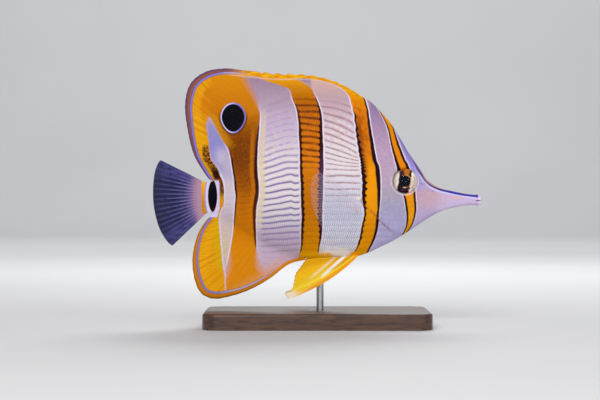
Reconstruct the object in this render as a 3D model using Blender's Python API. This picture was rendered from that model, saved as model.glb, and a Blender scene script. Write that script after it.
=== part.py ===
"""Copperband butterflyfish: a still, life-size model on a plain display stand.

The fish faces +X and its sides face +Y and -Y. All sizes below are millimetres. Heights of the fish
are counted from its long axis, the line through the tip of the snout; the meshes are in metres.
"""

import bisect
import math

import bmesh
import bpy
from mathutils import Matrix, Vector

MM = 0.001
GAP = 0.3  # clearance between neighbouring pieces
AXIS_HEIGHT = 63.0  # the long axis of the fish above the floor

# The body without its fins, from the tail root to the lips: x, top, bottom, half width.
BODY_STATIONS = (
    (-55.3, 9.4, -6.7, 1.9),
    (-52.6, 9.4, -6.7, 2.2),
    (-50.2, 11.4, -7.2, 2.7),
    (-47.3, 19.0, -8.9, 3.6),
    (-42.5, 29.0, -12.4, 5.2),
    (-36.0, 38.6, -17.0, 7.0),
    (-28.0, 46.2, -21.6, 8.8),
    (-18.5, 51.6, -26.0, 10.6),
    (-8.5, 54.4, -28.6, 11.7),
    (1.5, 55.2, -29.6, 12.2),
    (11.5, 54.6, -29.2, 12.2),
    (20.0, 52.8, -28.2, 11.7),
    (26.0, 49.8, -26.2, 11.1),
    (31.5, 44.6, -23.6, 10.2),
    (36.6, 38.8, -21.2, 9.2),
    (41.5, 31.0, -18.4, 8.2),
    (45.8, 23.8, -15.7, 7.3),
    (50.3, 17.3, -12.8, 6.1),
    (55.3, 10.1, -9.4, 4.8),
    (60.9, 6.4, -6.3, 3.6),
    (66.5, 4.9, -4.4, 2.9),
    (73.0, 3.5, -3.1, 2.3),
    (78.2, 2.7, -2.6, 1.9),
    (80.4, 2.7, -2.7, 2.2),
    (81.7, 2.1, -2.3, 1.8),
    (82.3, 0.9, -1.2, 0.8),
)
RINGS_PER_STATION = 2
POINTS_PER_SIDE = 13
WIDEST_LEVEL = 0.45  # share of the way from the bottom to the top where the body is widest
FIN_EDGE = 1.2  # half thickness of the body where a fin grows from its edge
BELLY_EDGE = 2.3  # half thickness of the rounded belly
SNOUT_EDGE = 0.35

GILL_COVER_EDGE = (
    (22.0, 60.0),
    (24.5, 51.0),
    (27.0, 35.0),
    (22.8, 17.5),
    (21.6, 5.0),
    (24.6, -3.8),
    (31.0, -10.4),
    (39.0, -18.0),
    (45.0, -26.0),
)
TAIL_STALK_CUT_X = -48.8
SHARP_ANGLE = math.radians(40.0)
SLAB_HALF = 40.0  # half width of the blocks that part the body, well past its sides
SLAB_REACH = 90.0  # how far they run past its ends

FIN_ROWS = 7
RAY_RIDGE = 0.32  # how far a ray stands up on each face near its root
PAIRED_RAY_RIDGE = 0.2

DORSAL_BASE_REAR_X = -52.0
NAPE_X = 22.5
DORSAL_MARGIN = (
    (23.3, 51.9),
    (14.0, 57.0),
    (4.0, 61.0),
    (-6.0, 62.8),
    (-20.0, 63.4),
    (-36.0, 64.8),
    (-46.0, 65.8),
    (-56.0, 64.0),
    (-63.4, 58.0),
    (-66.0, 47.5),
    (-64.5, 34.0),
    (-61.5, 22.5),
    (-57.6, 13.4),
    (-52.8, 10.2),
)
DORSAL_SPINES = 9
DORSAL_SOFT_RAYS = 24
SPINY_SHARE = 0.38  # share of the dorsal fin that the spines carry
FIN_PARTING = 0.0014  # half the gap between its two parts, as a share of its length
SPINE_NOTCH, SPINE_RIM = 0.07, 0.42  # how far the margin dips between two spines, half thickness there
SOFT_NOTCH, SOFT_RIM = 0.01, 0.3

ANAL_BASE_FRONT_X = -6.0
ANAL_BASE_REAR_X = -51.6
ANAL_MARGIN = (
    (-5.2, -29.8),
    (-14.0, -32.1),
    (-23.5, -39.2),
    (-33.5, -44.8),
    (-43.5, -48.2),
    (-51.8, -49.4),
    (-58.0, -46.6),
    (-61.2, -39.8),
    (-62.3, -30.0),
    (-60.5, -19.8),
    (-57.0, -12.4),
    (-52.6, -7.4),
)
ANAL_RAYS = 21

TAIL_ROOT_X = -55.3
TAIL_ROOT_TOP, TAIL_ROOT_BOTTOM = 9.0, -6.4
TAIL_MARGIN = (
    (-79.8, 20.6),
    (-81.6, 13.0),
    (-82.3, 4.0),
    (-81.6, -5.0),
    (-79.0, -14.5),
    (-73.4, -24.0),
)
TAIL_RAYS = 17

PECTORAL_ROOT = (20.3, -1.6)  # x and height of the middle of its root
PECTORAL_ROOT_HALF = 2.9
PECTORAL_MARGIN = (
    (-1.5, 15.6),
    (-3.6, 8.0),
    (-3.0, -1.5),
    (0.5, -11.0),
    (6.5, -18.5),
    (12.5, -21.0),
)
PECTORAL_RAYS = 13
PECTORAL_RISE = 6.4  # how far the rear margin stands off the flank
PECTORAL_SINK = 1.3  # how deep the root starts below the flank
PECTORAL_CORNER = 0.1
PECTORAL_HALF, PECTORAL_RIM = 0.6, 0.26

PELVIC_ROOT_FRONT = (20.6, -27.4)
PELVIC_ROOT_REAR = (12.6, -28.2)
PELVIC_ROOT_Y = 2.7
PELVIC_MARGIN = (
    (-17.8, -50.6),
    (-12.8, -48.4),
    (-12.9, -44.8),
    (-12.2, -39.6),
    (-10.6, -35.6),
    (-6.4, -31.2),
)
PELVIC_RAYS = 6
PELVIC_SPLAY = 0.17  # sideways run for each millimetre of length
PELVIC_BULGE = 4.6  # how far the leading spine bows out and down
PELVIC_SPINE = 0.3  # extra half thickness of the leading spine
PELVIC_HALF, PELVIC_RIM = 0.75, 0.26

EYE_PLACE = (43.5, 9.3)
EYE_Y = 5.0
EYE_RADIUS = 6.3
EYE_DEPTH = 3.7
NOSTRILS = ((50.8, 11.6), (52.4, 9.7))
NOSTRIL_RADIUS = 0.55
MOUTH_Z = -0.4
MOUTH_DEPTH = 2.3
MOUTH_GAPE = 0.45

BASE_LENGTH, BASE_WIDTH, BASE_HEIGHT = 112.0, 66.0, 8.0
BASE_CORNER = 8.0
BASE_BEVEL = 1.2
ROD_X = 1.5
ROD_RADIUS = 1.8
ROD_SINK = 7.0  # how far the rod reaches up into the belly
ROD_FOOT = 5.0  # how far it reaches down into the base
BELLY_Z = -29.6


def clear_scene():
    for old in list(bpy.data.objects):
        bpy.data.objects.remove(old, do_unlink=True)


def finish_material(name, colour, roughness, metallic=0.0):
    material = bpy.data.materials.new(name)
    material.use_nodes = True
    shader = material.node_tree.nodes["Principled BSDF"]
    shader.inputs["Base Color"].default_value = (*colour, 1.0)
    shader.inputs["Roughness"].default_value = roughness
    shader.inputs["Metallic"].default_value = metallic
    return material


def smooth_step(low, high, value):
    share = min(max((value - low) / (high - low), 0.0), 1.0)
    return share * share * (3.0 - 2.0 * share)


def through(points, place):
    """The point at place on the smooth curve through the points, place counted in points."""
    last = len(points) - 1
    start = min(max(int(math.floor(place)), 0), last - 1)
    share = place - start
    before, here = points[max(start - 1, 0)], points[start]
    there, after = points[start + 1], points[min(start + 2, last)]
    return tuple(
        0.5 * (2.0 * b + (c - a) * share + (2.0 * a - 5.0 * b + 4.0 * c - d) * share**2
               + (3.0 * b - a - 3.0 * c + d) * share**3)
        for a, b, c, d in zip(before, here, there, after)
    )


def by_length(curve, start, end, steps=240):
    """The stretch of a curve from start to end, as a function of the share of its length."""
    places = [Vector(curve(start + (end - start) * i / steps)) for i in range(steps + 1)]
    runs = [0.0]
    for here, there in zip(places, places[1:]):
        runs.append(runs[-1] + (there - here).length)

    def at(share):
        wanted = min(max(share, 0.0), 1.0) * runs[-1]
        i = min(max(bisect.bisect_right(runs, wanted) - 1, 0), steps - 1)
        part = (wanted - runs[i]) / (runs[i + 1] - runs[i])
        return places[i].lerp(places[i + 1], part)

    return at


def along(points):
    return by_length(lambda place: through(points, place), 0.0, len(points) - 1.0)


def edge_half(x, upper):
    """Half thickness of the body's upper or lower edge."""
    if upper:
        return FIN_EDGE + (SNOUT_EDGE - FIN_EDGE) * smooth_step(NAPE_X, 60.0, x)
    belly = FIN_EDGE + (BELLY_EDGE - FIN_EDGE) * smooth_step(-12.0, 0.0, x)
    return belly + (SNOUT_EDGE - belly) * smooth_step(22.0, 60.0, x)


def section_power(x):
    """0.5 makes a round section, as on the snout and tail stalk, and more makes a lens."""
    rear = 0.55 + 0.25 * smooth_step(-52.0, -35.0, x)
    return rear - 0.3 * smooth_step(22.0, 60.0, x)


def body_point(place, level, side):
    """A point of the body's side, at a level from -1, the lower edge, to 1, the upper one."""
    x, top, bottom, width = through(BODY_STATIONS, place)
    widest = bottom + (top - bottom) * WIDEST_LEVEL
    reach = (top - widest) if level > 0.0 else (widest - bottom)
    edge = min(edge_half(x, level > 0.0), 0.8 * width)
    spread = max(1.0 - level * level, 0.0) ** section_power(x)
    return Vector((x, side * (edge + (width - edge) * spread), widest + level * reach))


def half_width(x, z):
    """Half width of the body at a place seen from the side."""
    place = place_at(x)
    _, top, bottom, _ = through(BODY_STATIONS, place)
    widest = bottom + (top - bottom) * WIDEST_LEVEL
    reach = (top - widest) if z > widest else (widest - bottom)
    return body_point(place, (z - widest) / reach, 1).y


def place_at(x):
    """The place in the stations where the body has this x."""
    low, high = 0.0, len(BODY_STATIONS) - 1.0
    for _ in range(40):
        middle = 0.5 * (low + high)
        if through(BODY_STATIONS, middle)[0] < x:
            low = middle
        else:
            high = middle
    return low


def edge_line(upper):
    """The body's upper or lower edge, moved out by the gap that a fin keeps."""
    column = 1 if upper else 2
    out = 1.0 if upper else -1.0
    step = 0.02

    def at(place):
        here = through(BODY_STATIONS, place)
        there = through(BODY_STATIONS, place + step)
        run = Vector((there[0] - here[0], 0.0, there[column] - here[column])).normalized()
        return Vector((here[0], 0.0, here[column])) + out * GAP * Vector((-run.z, 0.0, run.x))

    return at


def shade(mesh, smooth):
    """Smooth shading that keeps sharp edges, or flat faces, which show the rays of a fin."""
    if smooth:
        mesh.shade_smooth()
        mesh.set_sharp_from_angle(angle=SHARP_ANGLE)
    else:
        mesh.shade_flat()


def as_object(bm, name, material, lift=AXIS_HEIGHT, smooth=True):
    """An object from a bmesh in millimetres, raised by lift."""
    bmesh.ops.recalc_face_normals(bm, faces=bm.faces)
    bmesh.ops.translate(bm, vec=(0.0, 0.0, lift), verts=bm.verts)
    bmesh.ops.scale(bm, vec=(MM, MM, MM), verts=bm.verts)
    mesh = bpy.data.meshes.new(name)
    bm.to_mesh(mesh)
    bm.free()
    shade(mesh, smooth)
    mesh.materials.append(material)
    piece = bpy.data.objects.new(name, mesh)
    bpy.context.scene.collection.objects.link(piece)
    return piece


def keep_largest(mesh):
    """Leaves the largest closed surface of a mesh."""
    bm = bmesh.new()
    bm.from_mesh(mesh)
    left = set(bm.verts)
    surfaces = []
    while left:
        seed = left.pop()
        found, reached = {seed}, [seed]
        while reached:
            for edge in reached.pop().link_edges:
                for vert in edge.verts:
                    if vert in left:
                        left.discard(vert)
                        found.add(vert)
                        reached.append(vert)
        surfaces.append(found)
    kept = max(surfaces, key=len)
    bmesh.ops.delete(bm, geom=[v for v in bm.verts if v not in kept], context="VERTS")
    bm.to_mesh(mesh)
    bm.free()


def combine(piece, cutters, operation, smooth=True):
    """Cuts a piece by closed objects, or keeps what it shares with them, and removes them."""
    for cutter in cutters:
        cutter.hide_render = True
        cutter.display_type = "WIRE"
        modifier = piece.modifiers.new("cut", "BOOLEAN")
        modifier.operation = operation
        modifier.object = cutter
    bpy.context.view_layer.update()
    cut = piece.evaluated_get(bpy.context.evaluated_depsgraph_get())
    mesh = bpy.data.meshes.new_from_object(cut)
    piece.modifiers.clear()
    piece.data = mesh
    for cutter in cutters:
        bpy.data.objects.remove(cutter, do_unlink=True)
    keep_largest(mesh)
    shade(mesh, smooth)


def whole_body(name, material, grow=0.0):
    """The body from the tail root to the lips, grown along its normals."""
    spans = (len(BODY_STATIONS) - 1) * RINGS_PER_STATION
    round_points = 2 * POINTS_PER_SIDE + 2
    bm = bmesh.new()
    bmesh.ops.create_grid(bm, x_segments=spans, y_segments=round_points, size=0.5)
    for vert in bm.verts:
        place = (vert.co.x + 0.5) * (len(BODY_STATIONS) - 1)
        turn = round((vert.co.y + 0.5) * round_points) % round_points
        side = 1.0 if turn <= POINTS_PER_SIDE else -1.0
        step = turn if side > 0.0 else round_points - 1 - turn
        level = -math.cos(math.pi * step / POINTS_PER_SIDE)
        vert.co = body_point(place, level, side)
    bmesh.ops.remove_doubles(bm, verts=bm.verts, dist=0.0001)
    bmesh.ops.holes_fill(bm, edges=[e for e in bm.edges if e.is_boundary], sides=0)
    bmesh.ops.recalc_face_normals(bm, faces=bm.faces)
    bm.normal_update()
    for vert, normal in [(v, v.normal.copy()) for v in bm.verts]:
        vert.co += normal * grow
    return as_object(bm, name, material)


def slab(rear, front):
    """A block through the whole width between two lines seen from the side."""
    outline = list(rear) + list(reversed(front))
    bm = bmesh.new()
    verts = [bm.verts.new((x, -SLAB_HALF, z)) for x, z in outline]
    face = bm.faces.new(verts)
    made = bmesh.ops.extrude_face_region(bm, geom=[face], use_keep_orig=True)["geom"]
    far = [v for v in made if isinstance(v, bmesh.types.BMVert)]
    bmesh.ops.translate(bm, vec=(0.0, 2.0 * SLAB_HALF, 0.0), verts=far)
    return as_object(bm, "slab", FLANK)


def gill_line(shift, points=18):
    """The edge of the gill cover from below upwards, moved forward by shift."""
    line = along(GILL_COVER_EDGE)
    places = []
    for i in range(points + 1):
        share = 1.0 - i / points
        here = line(share)
        run = (line(min(share + 0.01, 1.0)) - line(max(share - 0.01, 0.0))).normalized()
        places.append((here.x - run.y * shift, here.y + run.x * shift))
    return places


def upright_line(x):
    return [(x, -SLAB_REACH), (x, SLAB_REACH)]


def ellipsoid(name, material, centre, radii, segments, rings):
    bm = bmesh.new()
    turned = Matrix.Rotation(math.radians(90.0), 4, "X")
    bmesh.ops.create_uvsphere(bm, u_segments=segments, v_segments=rings, radius=1.0, matrix=turned)
    bmesh.ops.scale(bm, vec=radii, verts=bm.verts)
    bmesh.ops.translate(bm, vec=centre, verts=bm.verts)
    return as_object(bm, name, material)


def eyeball(name, side, grow=0.0):
    wide, deep = EYE_RADIUS + grow, EYE_DEPTH + grow
    centre = (EYE_PLACE[0], side * EYE_Y, EYE_PLACE[1])
    return ellipsoid(name, EYE, centre, (wide, deep, wide), 20, 12)


def mouth_cutter():
    """A thin wedge from the front, which parts the lips."""
    bm = bmesh.new()
    bmesh.ops.create_cube(bm, size=1.0)
    for vert in bm.verts:
        opening = MOUTH_GAPE if vert.co.x > 0.0 else 0.5 * MOUTH_GAPE
        x = 84.0 if vert.co.x > 0.0 else 82.3 - MOUTH_DEPTH
        vert.co = (x, vert.co.y * 10.0, MOUTH_Z + vert.co.z * opening)
    return as_object(bm, "mouth", HEAD)


def make_head():
    head = whole_body("head", HEAD)
    combine(head, [slab(gill_line(0.5 * GAP), upright_line(SLAB_REACH))], "INTERSECT")
    cutters = [mouth_cutter()]
    for side in (1.0, -1.0):
        cutters.append(eyeball("socket", side, GAP))
        for x, z in NOSTRILS:
            centre = (x, side * half_width(x, z), z)
            cutters.append(ellipsoid("nostril", HEAD, centre, (NOSTRIL_RADIUS,) * 3, 8, 6))
    combine(head, cutters, "DIFFERENCE")


def make_trunk():
    trunk = whole_body("trunk", FLANK)
    front = gill_line(-0.5 * GAP)
    combine(trunk, [slab(upright_line(TAIL_STALK_CUT_X + 0.5 * GAP), front)], "INTERSECT")
    combine(trunk, [rod("bore", ROD_RADIUS + GAP, BELLY_Z + ROD_SINK + GAP)], "DIFFERENCE")


def make_tail_stalk():
    stalk = whole_body("tail_stalk", FLANK)
    rear, front = upright_line(-SLAB_REACH), upright_line(TAIL_STALK_CUT_X - 0.5 * GAP)
    combine(stalk, [slab(rear, front)], "INTERSECT")


def blade(name, material, centre, half, normal, columns, rows):
    """A thin fin: a grid laid on its middle surface and set out to both faces, split alike."""
    bm = bmesh.new()
    bmesh.ops.create_grid(bm, x_segments=columns, y_segments=rows, size=0.5)
    across = bm.verts.layers.float.new("across")
    outward = bm.verts.layers.float.new("outward")
    for vert in bm.verts:
        vert[across] = vert.co.x + 0.5
        vert[outward] = vert.co.y + 0.5
    bmesh.ops.triangulate(bm, faces=bm.faces, quad_method="FIXED")
    made = bmesh.ops.extrude_face_region(bm, geom=bm.faces[:], use_keep_orig=True)["geom"]
    far = {v for v in made if isinstance(v, bmesh.types.BMVert)}
    for vert in bm.verts:
        t, v = vert[across], vert[outward]
        offset = half(t, v) * (1.0 if vert in far else -1.0)
        vert.co = centre(t, v) + normal * offset
    return as_object(bm, name, material, smooth=False)


def ray_ridge(t, rays):
    """1 on a ray and 0 between two."""
    return 0.5 - 0.5 * math.cos(2.0 * math.pi * rays * t)


def fin_half(t, v, rays, root, rim, ridge):
    """Half thickness of a fin that thins from root to rim, with its rays raised."""
    plain = root + (rim - root) * (1.0 - (1.0 - v) ** 1.6)
    raised = ridge * smooth_step(0.0, 0.15, v) * (1.0 - 0.5 * v)
    return plain + raised * ray_ridge(t, rays)


def median_fin(name, material, base, margin, rays, notch, rim):
    """A fin in the middle plane, whose margin dips by a share between two rays."""

    def centre(t, v):
        root, tip = base(t), margin(t)
        tip = Vector((tip.x, 0.0, tip.y))
        reach = 1.0 - notch * (1.0 - ray_ridge(t, rays))
        return root.lerp(tip, v * reach)

    def half(t, v):
        return fin_half(t, v, rays, FIN_EDGE - 0.1, rim, RAY_RIDGE)

    return blade(name, material, centre, half, Vector((0.0, 1.0, 0.0)), 2 * rays, FIN_ROWS)


def share_of(curve, low, high):
    """The stretch of a curve between two shares of its length."""
    return lambda t: curve(low + (high - low) * t)


def make_dorsal_fins():
    base = by_length(edge_line(True), place_at(NAPE_X), place_at(DORSAL_BASE_REAR_X))
    margin = along(DORSAL_MARGIN)
    stretches = (
        ("dorsal_fin_spiny", 0.0, SPINY_SHARE - FIN_PARTING, DORSAL_SPINES, SPINE_NOTCH, SPINE_RIM),
        ("dorsal_fin_soft", SPINY_SHARE + FIN_PARTING, 1.0, DORSAL_SOFT_RAYS, SOFT_NOTCH, SOFT_RIM),
    )
    for name, low, high, rays, notch, rim in stretches:
        median_fin(name, DORSAL, share_of(base, low, high), share_of(margin, low, high), rays, notch, rim)


def make_anal_fin():
    front, rear = place_at(ANAL_BASE_FRONT_X), place_at(ANAL_BASE_REAR_X)
    base = by_length(edge_line(False), front, rear)
    median_fin("anal_fin", ANAL, base, along(ANAL_MARGIN), ANAL_RAYS, SOFT_NOTCH, SOFT_RIM)


def make_tail_fin():
    def base(t):
        return Vector((TAIL_ROOT_X - GAP, 0.0, TAIL_ROOT_TOP + (TAIL_ROOT_BOTTOM - TAIL_ROOT_TOP) * t))

    median_fin("tail_fin", TAIL, base, along(TAIL_MARGIN), TAIL_RAYS, SOFT_NOTCH, SOFT_RIM)


def rounded(t, corner):
    """The share of its length that a ray keeps, less at both ends of the fin."""
    return 1.0 - corner * abs(2.0 * t - 1.0) ** 8


def make_pectoral_fin(name, side):
    margin = along(PECTORAL_MARGIN)
    x, z = PECTORAL_ROOT
    flank = half_width(x, z)

    def centre(t, v):
        root = Vector((x, z + PECTORAL_ROOT_HALF * (1.0 - 2.0 * t)))
        seen = root.lerp(margin(t), v * rounded(t, PECTORAL_CORNER))
        rise = PECTORAL_RISE * (1.0 - (1.0 - v) ** 2) - PECTORAL_SINK
        return Vector((seen.x, side * (flank + rise), seen.y))

    def half(t, v):
        return fin_half(t, v, PECTORAL_RAYS, PECTORAL_HALF, PECTORAL_RIM, PAIRED_RAY_RIDGE)

    normal = Vector((0.42, side, 0.0)).normalized()
    fin = blade(name, PECTORAL, centre, half, normal, 2 * PECTORAL_RAYS, FIN_ROWS)
    combine(fin, [whole_body("grown", FLANK, GAP)], "DIFFERENCE", smooth=False)


def make_pelvic_fin(name, side):
    margin = along(PELVIC_MARGIN)
    front, rear = Vector(PELVIC_ROOT_FRONT), Vector(PELVIC_ROOT_REAR)
    bow = Vector((-0.35, -0.94))

    def centre(t, v):
        root = front.lerp(rear, t)
        seen = root.lerp(margin(t), v)
        seen += bow * (PELVIC_BULGE * (1.0 - t) ** 1.5 * 4.0 * v * (1.0 - v))
        run = (seen - front).length
        return Vector((seen.x, side * (PELVIC_ROOT_Y + PELVIC_SPLAY * run), seen.y))

    def half(t, v):
        spine = PELVIC_SPINE * (1.0 - smooth_step(0.0, 0.2, t)) * (1.0 - v)
        return fin_half(t, v, PELVIC_RAYS, PELVIC_HALF, PELVIC_RIM, PAIRED_RAY_RIDGE) + spine

    fin = blade(name, PELVIC, centre, half, Vector((0.0, side, 0.0)), 2 * PELVIC_RAYS, FIN_ROWS + 3)
    combine(fin, [whole_body("grown", FLANK, GAP)], "DIFFERENCE", smooth=False)


def rod(name, radius, top):
    """An upright round rod, whose foot is sunk in the base."""
    low = BASE_HEIGHT - ROD_FOOT - AXIS_HEIGHT - (radius - ROD_RADIUS)
    bm = bmesh.new()
    place = Matrix.Translation((ROD_X, 0.0, 0.5 * (low + top)))
    bmesh.ops.create_cone(bm, cap_ends=True, segments=24, radius1=radius, radius2=radius,
                          depth=top - low, matrix=place)
    return as_object(bm, name, STEEL)


def make_stand():
    bm = bmesh.new()
    bmesh.ops.create_cube(bm, size=1.0)
    bmesh.ops.scale(bm, vec=(BASE_LENGTH, BASE_WIDTH, BASE_HEIGHT), verts=bm.verts)
    bmesh.ops.translate(bm, vec=(0.0, 0.0, 0.5 * BASE_HEIGHT), verts=bm.verts)
    corners = [e for e in bm.edges if abs(e.verts[0].co.z - e.verts[1].co.z) > 1.0]
    bmesh.ops.bevel(bm, geom=corners, offset=BASE_CORNER, segments=6, profile=0.5, affect="EDGES")
    top = [f for f in bm.faces if f.normal.z > 0.9]
    rim = [e for f in top for e in f.edges]
    bmesh.ops.bevel(bm, geom=rim, offset=BASE_BEVEL, segments=3, profile=0.5, affect="EDGES")
    base = as_object(bm, "stand_base", WOOD, lift=0.0)
    rod("stand_rod", ROD_RADIUS, BELLY_Z + ROD_SINK)
    combine(base, [rod("socket", ROD_RADIUS + GAP, BELLY_Z)], "DIFFERENCE")


clear_scene()
HEAD = finish_material("pale_lavender_head", (0.62, 0.50, 0.66), 0.42)
FLANK = finish_material("banded_flank", (0.62, 0.53, 0.64), 0.42)
DORSAL = finish_material("orange_dorsal", (0.75, 0.27, 0.02), 0.45)
ANAL = finish_material("orange_anal", (0.75, 0.27, 0.02), 0.45)
TAIL = finish_material("blue_tail", (0.10, 0.10, 0.30), 0.35)
PECTORAL = finish_material("clear_pectoral", (0.60, 0.52, 0.60), 0.3)
PELVIC = finish_material("yellow_pelvic", (0.85, 0.48, 0.03), 0.4)
EYE = finish_material("eye", (0.03, 0.03, 0.06), 0.08)
WOOD = finish_material("dark_walnut", (0.085, 0.042, 0.024), 0.45)
STEEL = finish_material("steel", (0.55, 0.55, 0.56), 0.3, 1.0)

make_head()
make_trunk()
make_tail_stalk()
make_dorsal_fins()
make_anal_fin()
make_tail_fin()
for word, hand in (("left", 1.0), ("right", -1.0)):
    make_pectoral_fin("pectoral_fin_" + word, hand)
    make_pelvic_fin("pelvic_fin_" + word, hand)
    eyeball("eye_" + word, hand)
make_stand()
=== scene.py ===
import math

import bmesh
import bpy
import numpy as np
from mathutils import Matrix, Vector
from mathutils.bvhtree import BVHTree
from mathutils.kdtree import KDTree


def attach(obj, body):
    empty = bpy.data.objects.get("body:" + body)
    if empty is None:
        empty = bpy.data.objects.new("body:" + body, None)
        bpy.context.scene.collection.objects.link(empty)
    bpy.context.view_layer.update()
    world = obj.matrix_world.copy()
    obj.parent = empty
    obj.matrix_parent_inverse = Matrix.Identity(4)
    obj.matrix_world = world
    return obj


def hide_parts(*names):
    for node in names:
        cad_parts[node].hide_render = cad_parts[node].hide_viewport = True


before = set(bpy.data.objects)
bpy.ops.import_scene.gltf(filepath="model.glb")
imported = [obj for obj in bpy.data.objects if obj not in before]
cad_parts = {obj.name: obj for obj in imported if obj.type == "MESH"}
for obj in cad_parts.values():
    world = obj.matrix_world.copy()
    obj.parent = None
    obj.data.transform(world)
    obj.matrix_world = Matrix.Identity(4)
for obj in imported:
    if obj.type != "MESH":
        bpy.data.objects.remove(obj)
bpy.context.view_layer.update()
print("frame loaded")

# Lengths are millimetres until a mesh is written. x runs from tail to snout, z is counted from the long axis.
mm = 0.001
axisHeight = 63
rng = np.random.default_rng(11)

skin = {
    "stations": [  # x, top, bottom, half width, from the tail root to the lips
        (-58.2, 8.6, -6.6, 0.35), (-56.8, 9, -6.7, 1), (-55, 9.3, -6.7, 1.7), (-52.6, 9.4, -6.7, 2.2),
        (-50.2, 11.4, -7.2, 2.7), (-47.3, 19, -8.9, 3.6), (-42.5, 29, -12.4, 5.2), (-36, 38.6, -17, 7),
        (-28, 46.2, -21.6, 8.8), (-18.5, 51.6, -26, 10.6), (-8.5, 54.4, -28.6, 11.7),
        (1.5, 55.2, -29.6, 12.2), (11.5, 54.6, -29.2, 12.2), (20, 52.8, -28.2, 11.7),
        (26, 49.8, -26.2, 11.1), (31.5, 44.6, -23.6, 10.2), (36.6, 38.8, -21.2, 9.2),
        (41.5, 31, -18.4, 8.2), (45.8, 23.8, -15.7, 7.3), (50.3, 17.3, -12.8, 6.1), (55.3, 10.1, -9.4, 4.8),
        (60.9, 6.4, -6.3, 3.6), (66.5, 4.9, -4.4, 2.9), (73, 3.5, -3.1, 2.3), (78.2, 2.7, -2.6, 1.9),
        (80.4, 2.7, -2.7, 2.1), (81.7, 2.2, -2.4, 1.7), (82.2, 1.3, -1.6, 1), (82.4, 0.5, -1.1, 0),
    ],
    "columnsPerSpan": [6, 4, 5, 12, 34, 36, 36, 34, 22, 16, 14, 14, 14, 14, 12, 12, 12, 12, 12, 12, 12, 10,
                       10, 10, 8, 8, 6, 4],
    "bodyRows": 80,
    "finRows": 16,
    "widestLevel": 0.45,
    "coat": {"depth": 0.18, "start": (-57, -54), "end": (74, 80)},  # room for the scales
    "finEdge": 1.2,
    "bellyEdge": 2.3,
    "snoutEdge": 0.35,
    "edgeShare": 0.8,  # of the half width, where the body is narrower than its edge
    "tailRun": (-52, -35),
    "bellyRun": (-12, 0),
    "headRun": (22, 60),
    "powers": (0.55, 0.8, 0.5),  # of the section's curve at tail, trunk and snout
    "finRim": 0.24,
    "finTaper": 1.35,
    "rayRelief": 0.16,
    "spineNotch": 0.085,
    "softNotch": 0.004,
    "rootBlend": 1.7,
    "rootStep": 0.15,
    "rootReach": (8, 13),
    "rootFade": (-7, 2),
    "nape": 22.5,
    "dorsalRear": -52,
    "analFront": -6,
    "analRear": -51.6,
    "spines": 9,
    "spinyShare": 0.38,
    "softRays": 28,
    "analRays": 22,
    "unwrapEdge": 0.01,
    "mergeWithin": 2e-6,  # metres, as the next
    "leastEdge": 1e-6,
}

dorsalMargin = [(22.5, 51.7), (14, 57), (4, 61), (-6, 62.8), (-20, 63.4), (-36, 64.8), (-46, 65.8), (-56, 64),
                (-63.4, 58), (-66, 47.5), (-64.5, 34), (-61.5, 22.5), (-56.6, 14), (-53.6, 10)]
analMargin = [(-5.2, -29.8), (-14, -32.1), (-23.5, -39.2), (-33.5, -44.8), (-43.5, -48.2), (-51.8, -49.4),
              (-58, -46.6), (-61.2, -39.8), (-62.3, -30), (-60.5, -19.8), (-57, -12.4), (-52.6, -7.4)]
gillLine = [(24.5, 51), (26, 36), (22.6, 19), (21.2, 5), (21.8, -0.7), (23.5, -3.15), (26.5, -5.4),
            (29.15, -8.05), (31.5, -10.8), (34.75, -13.6), (38.9, -17.2)]

gillPlate = {"height": 0.5, "step": (-0.35, 0.45), "slope": (1, 9), "foot": (-19, -14), "top": (20, 34)}
cheek = {
    "height": 0.22, "rear": 35.5, "bow": 5.5, "middle": -4, "half": 14,
    "step": (-0.4, 0.4), "slope": (0.6, 5), "foot": (-13, -9), "top": (6, 12),
}
eye = {
    "place": (43.5, 9.3), "apex": 8.75, "pupil": 2.85, "pupilDepth": 0.2,
    "pupilEdge": (-0.25, 0.1), "ringHeight": 0.08, "ringWidth": 0.3,
    "ball": {"radius": 6.2, "curve": 9.2, "back": 0.7, "thick": 1.2},
    "cornea": {"radius": 6.3, "curve": 8, "back": 0, "thick": 0.5},
    "sides": 64, "rings": 22,
    "socket": {"depth": 3.6, "floor": 5.5, "edge": 6.35, "lid": 6.95, "lidHeight": 0.38, "lidWidth": 0.65},
}
nostrils = {
    "places": [(51.9, 8.2), (53.3, 8.1)], "depth": 0.3, "halfs": (0.32, 0.4),
    "rimHeight": 0.1, "rimRadius": 0.6, "rimWidth": 0.2,
}
mouth = {
    "z": -0.35, "half": 0.2, "back": 78.6, "run": 1.8, "cut": 0.85, "gape": 0.9, "tip": (80.9, 82.3),
    "lipHeight": 0.16, "lip": (79.4, 80.6), "lipLevel": 1, "lipWidth": 0.6,
}


def smoothStep(low, high, value):
    share = np.clip((value - low) / (high - low), 0, 1)
    return share * share * (3 - 2 * share)


def between(start, end, value):  # rises from 0 to 1 over one range and falls again over the other
    return smoothStep(*start, value) * (1 - smoothStep(*end, value))


def bell(value, width):  # a smooth bump, 1 in its middle
    return np.exp(-(value / width) ** 2)


def through(points, place):  # points on the smooth curve through the given ones, place counted in points
    table = np.asarray(points, float)
    last = len(table) - 1
    start = np.clip(np.floor(place).astype(int), 0, last - 1)
    share = (place - start)[..., None]
    before, here = table[np.maximum(start - 1, 0)], table[start]
    there, after = table[start + 1], table[np.minimum(start + 2, last)]
    squared = (2 * before - 5 * here + 4 * there - after) * share ** 2
    cubed = (3 * here - before - 3 * there + after) * share ** 3
    return 0.5 * (2 * here + (there - before) * share + squared + cubed)


def smoothLine(points, perSpan=24):  # the smooth curve through the points, as a dense line
    return through(points, np.linspace(0, len(points) - 1, (len(points) - 1) * perSpan + 1))


def lengthsAlong(line):  # length of the line up to each of its points
    return np.concatenate([[0], np.cumsum(np.linalg.norm(np.diff(line, axis=0), axis=1))])


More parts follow.
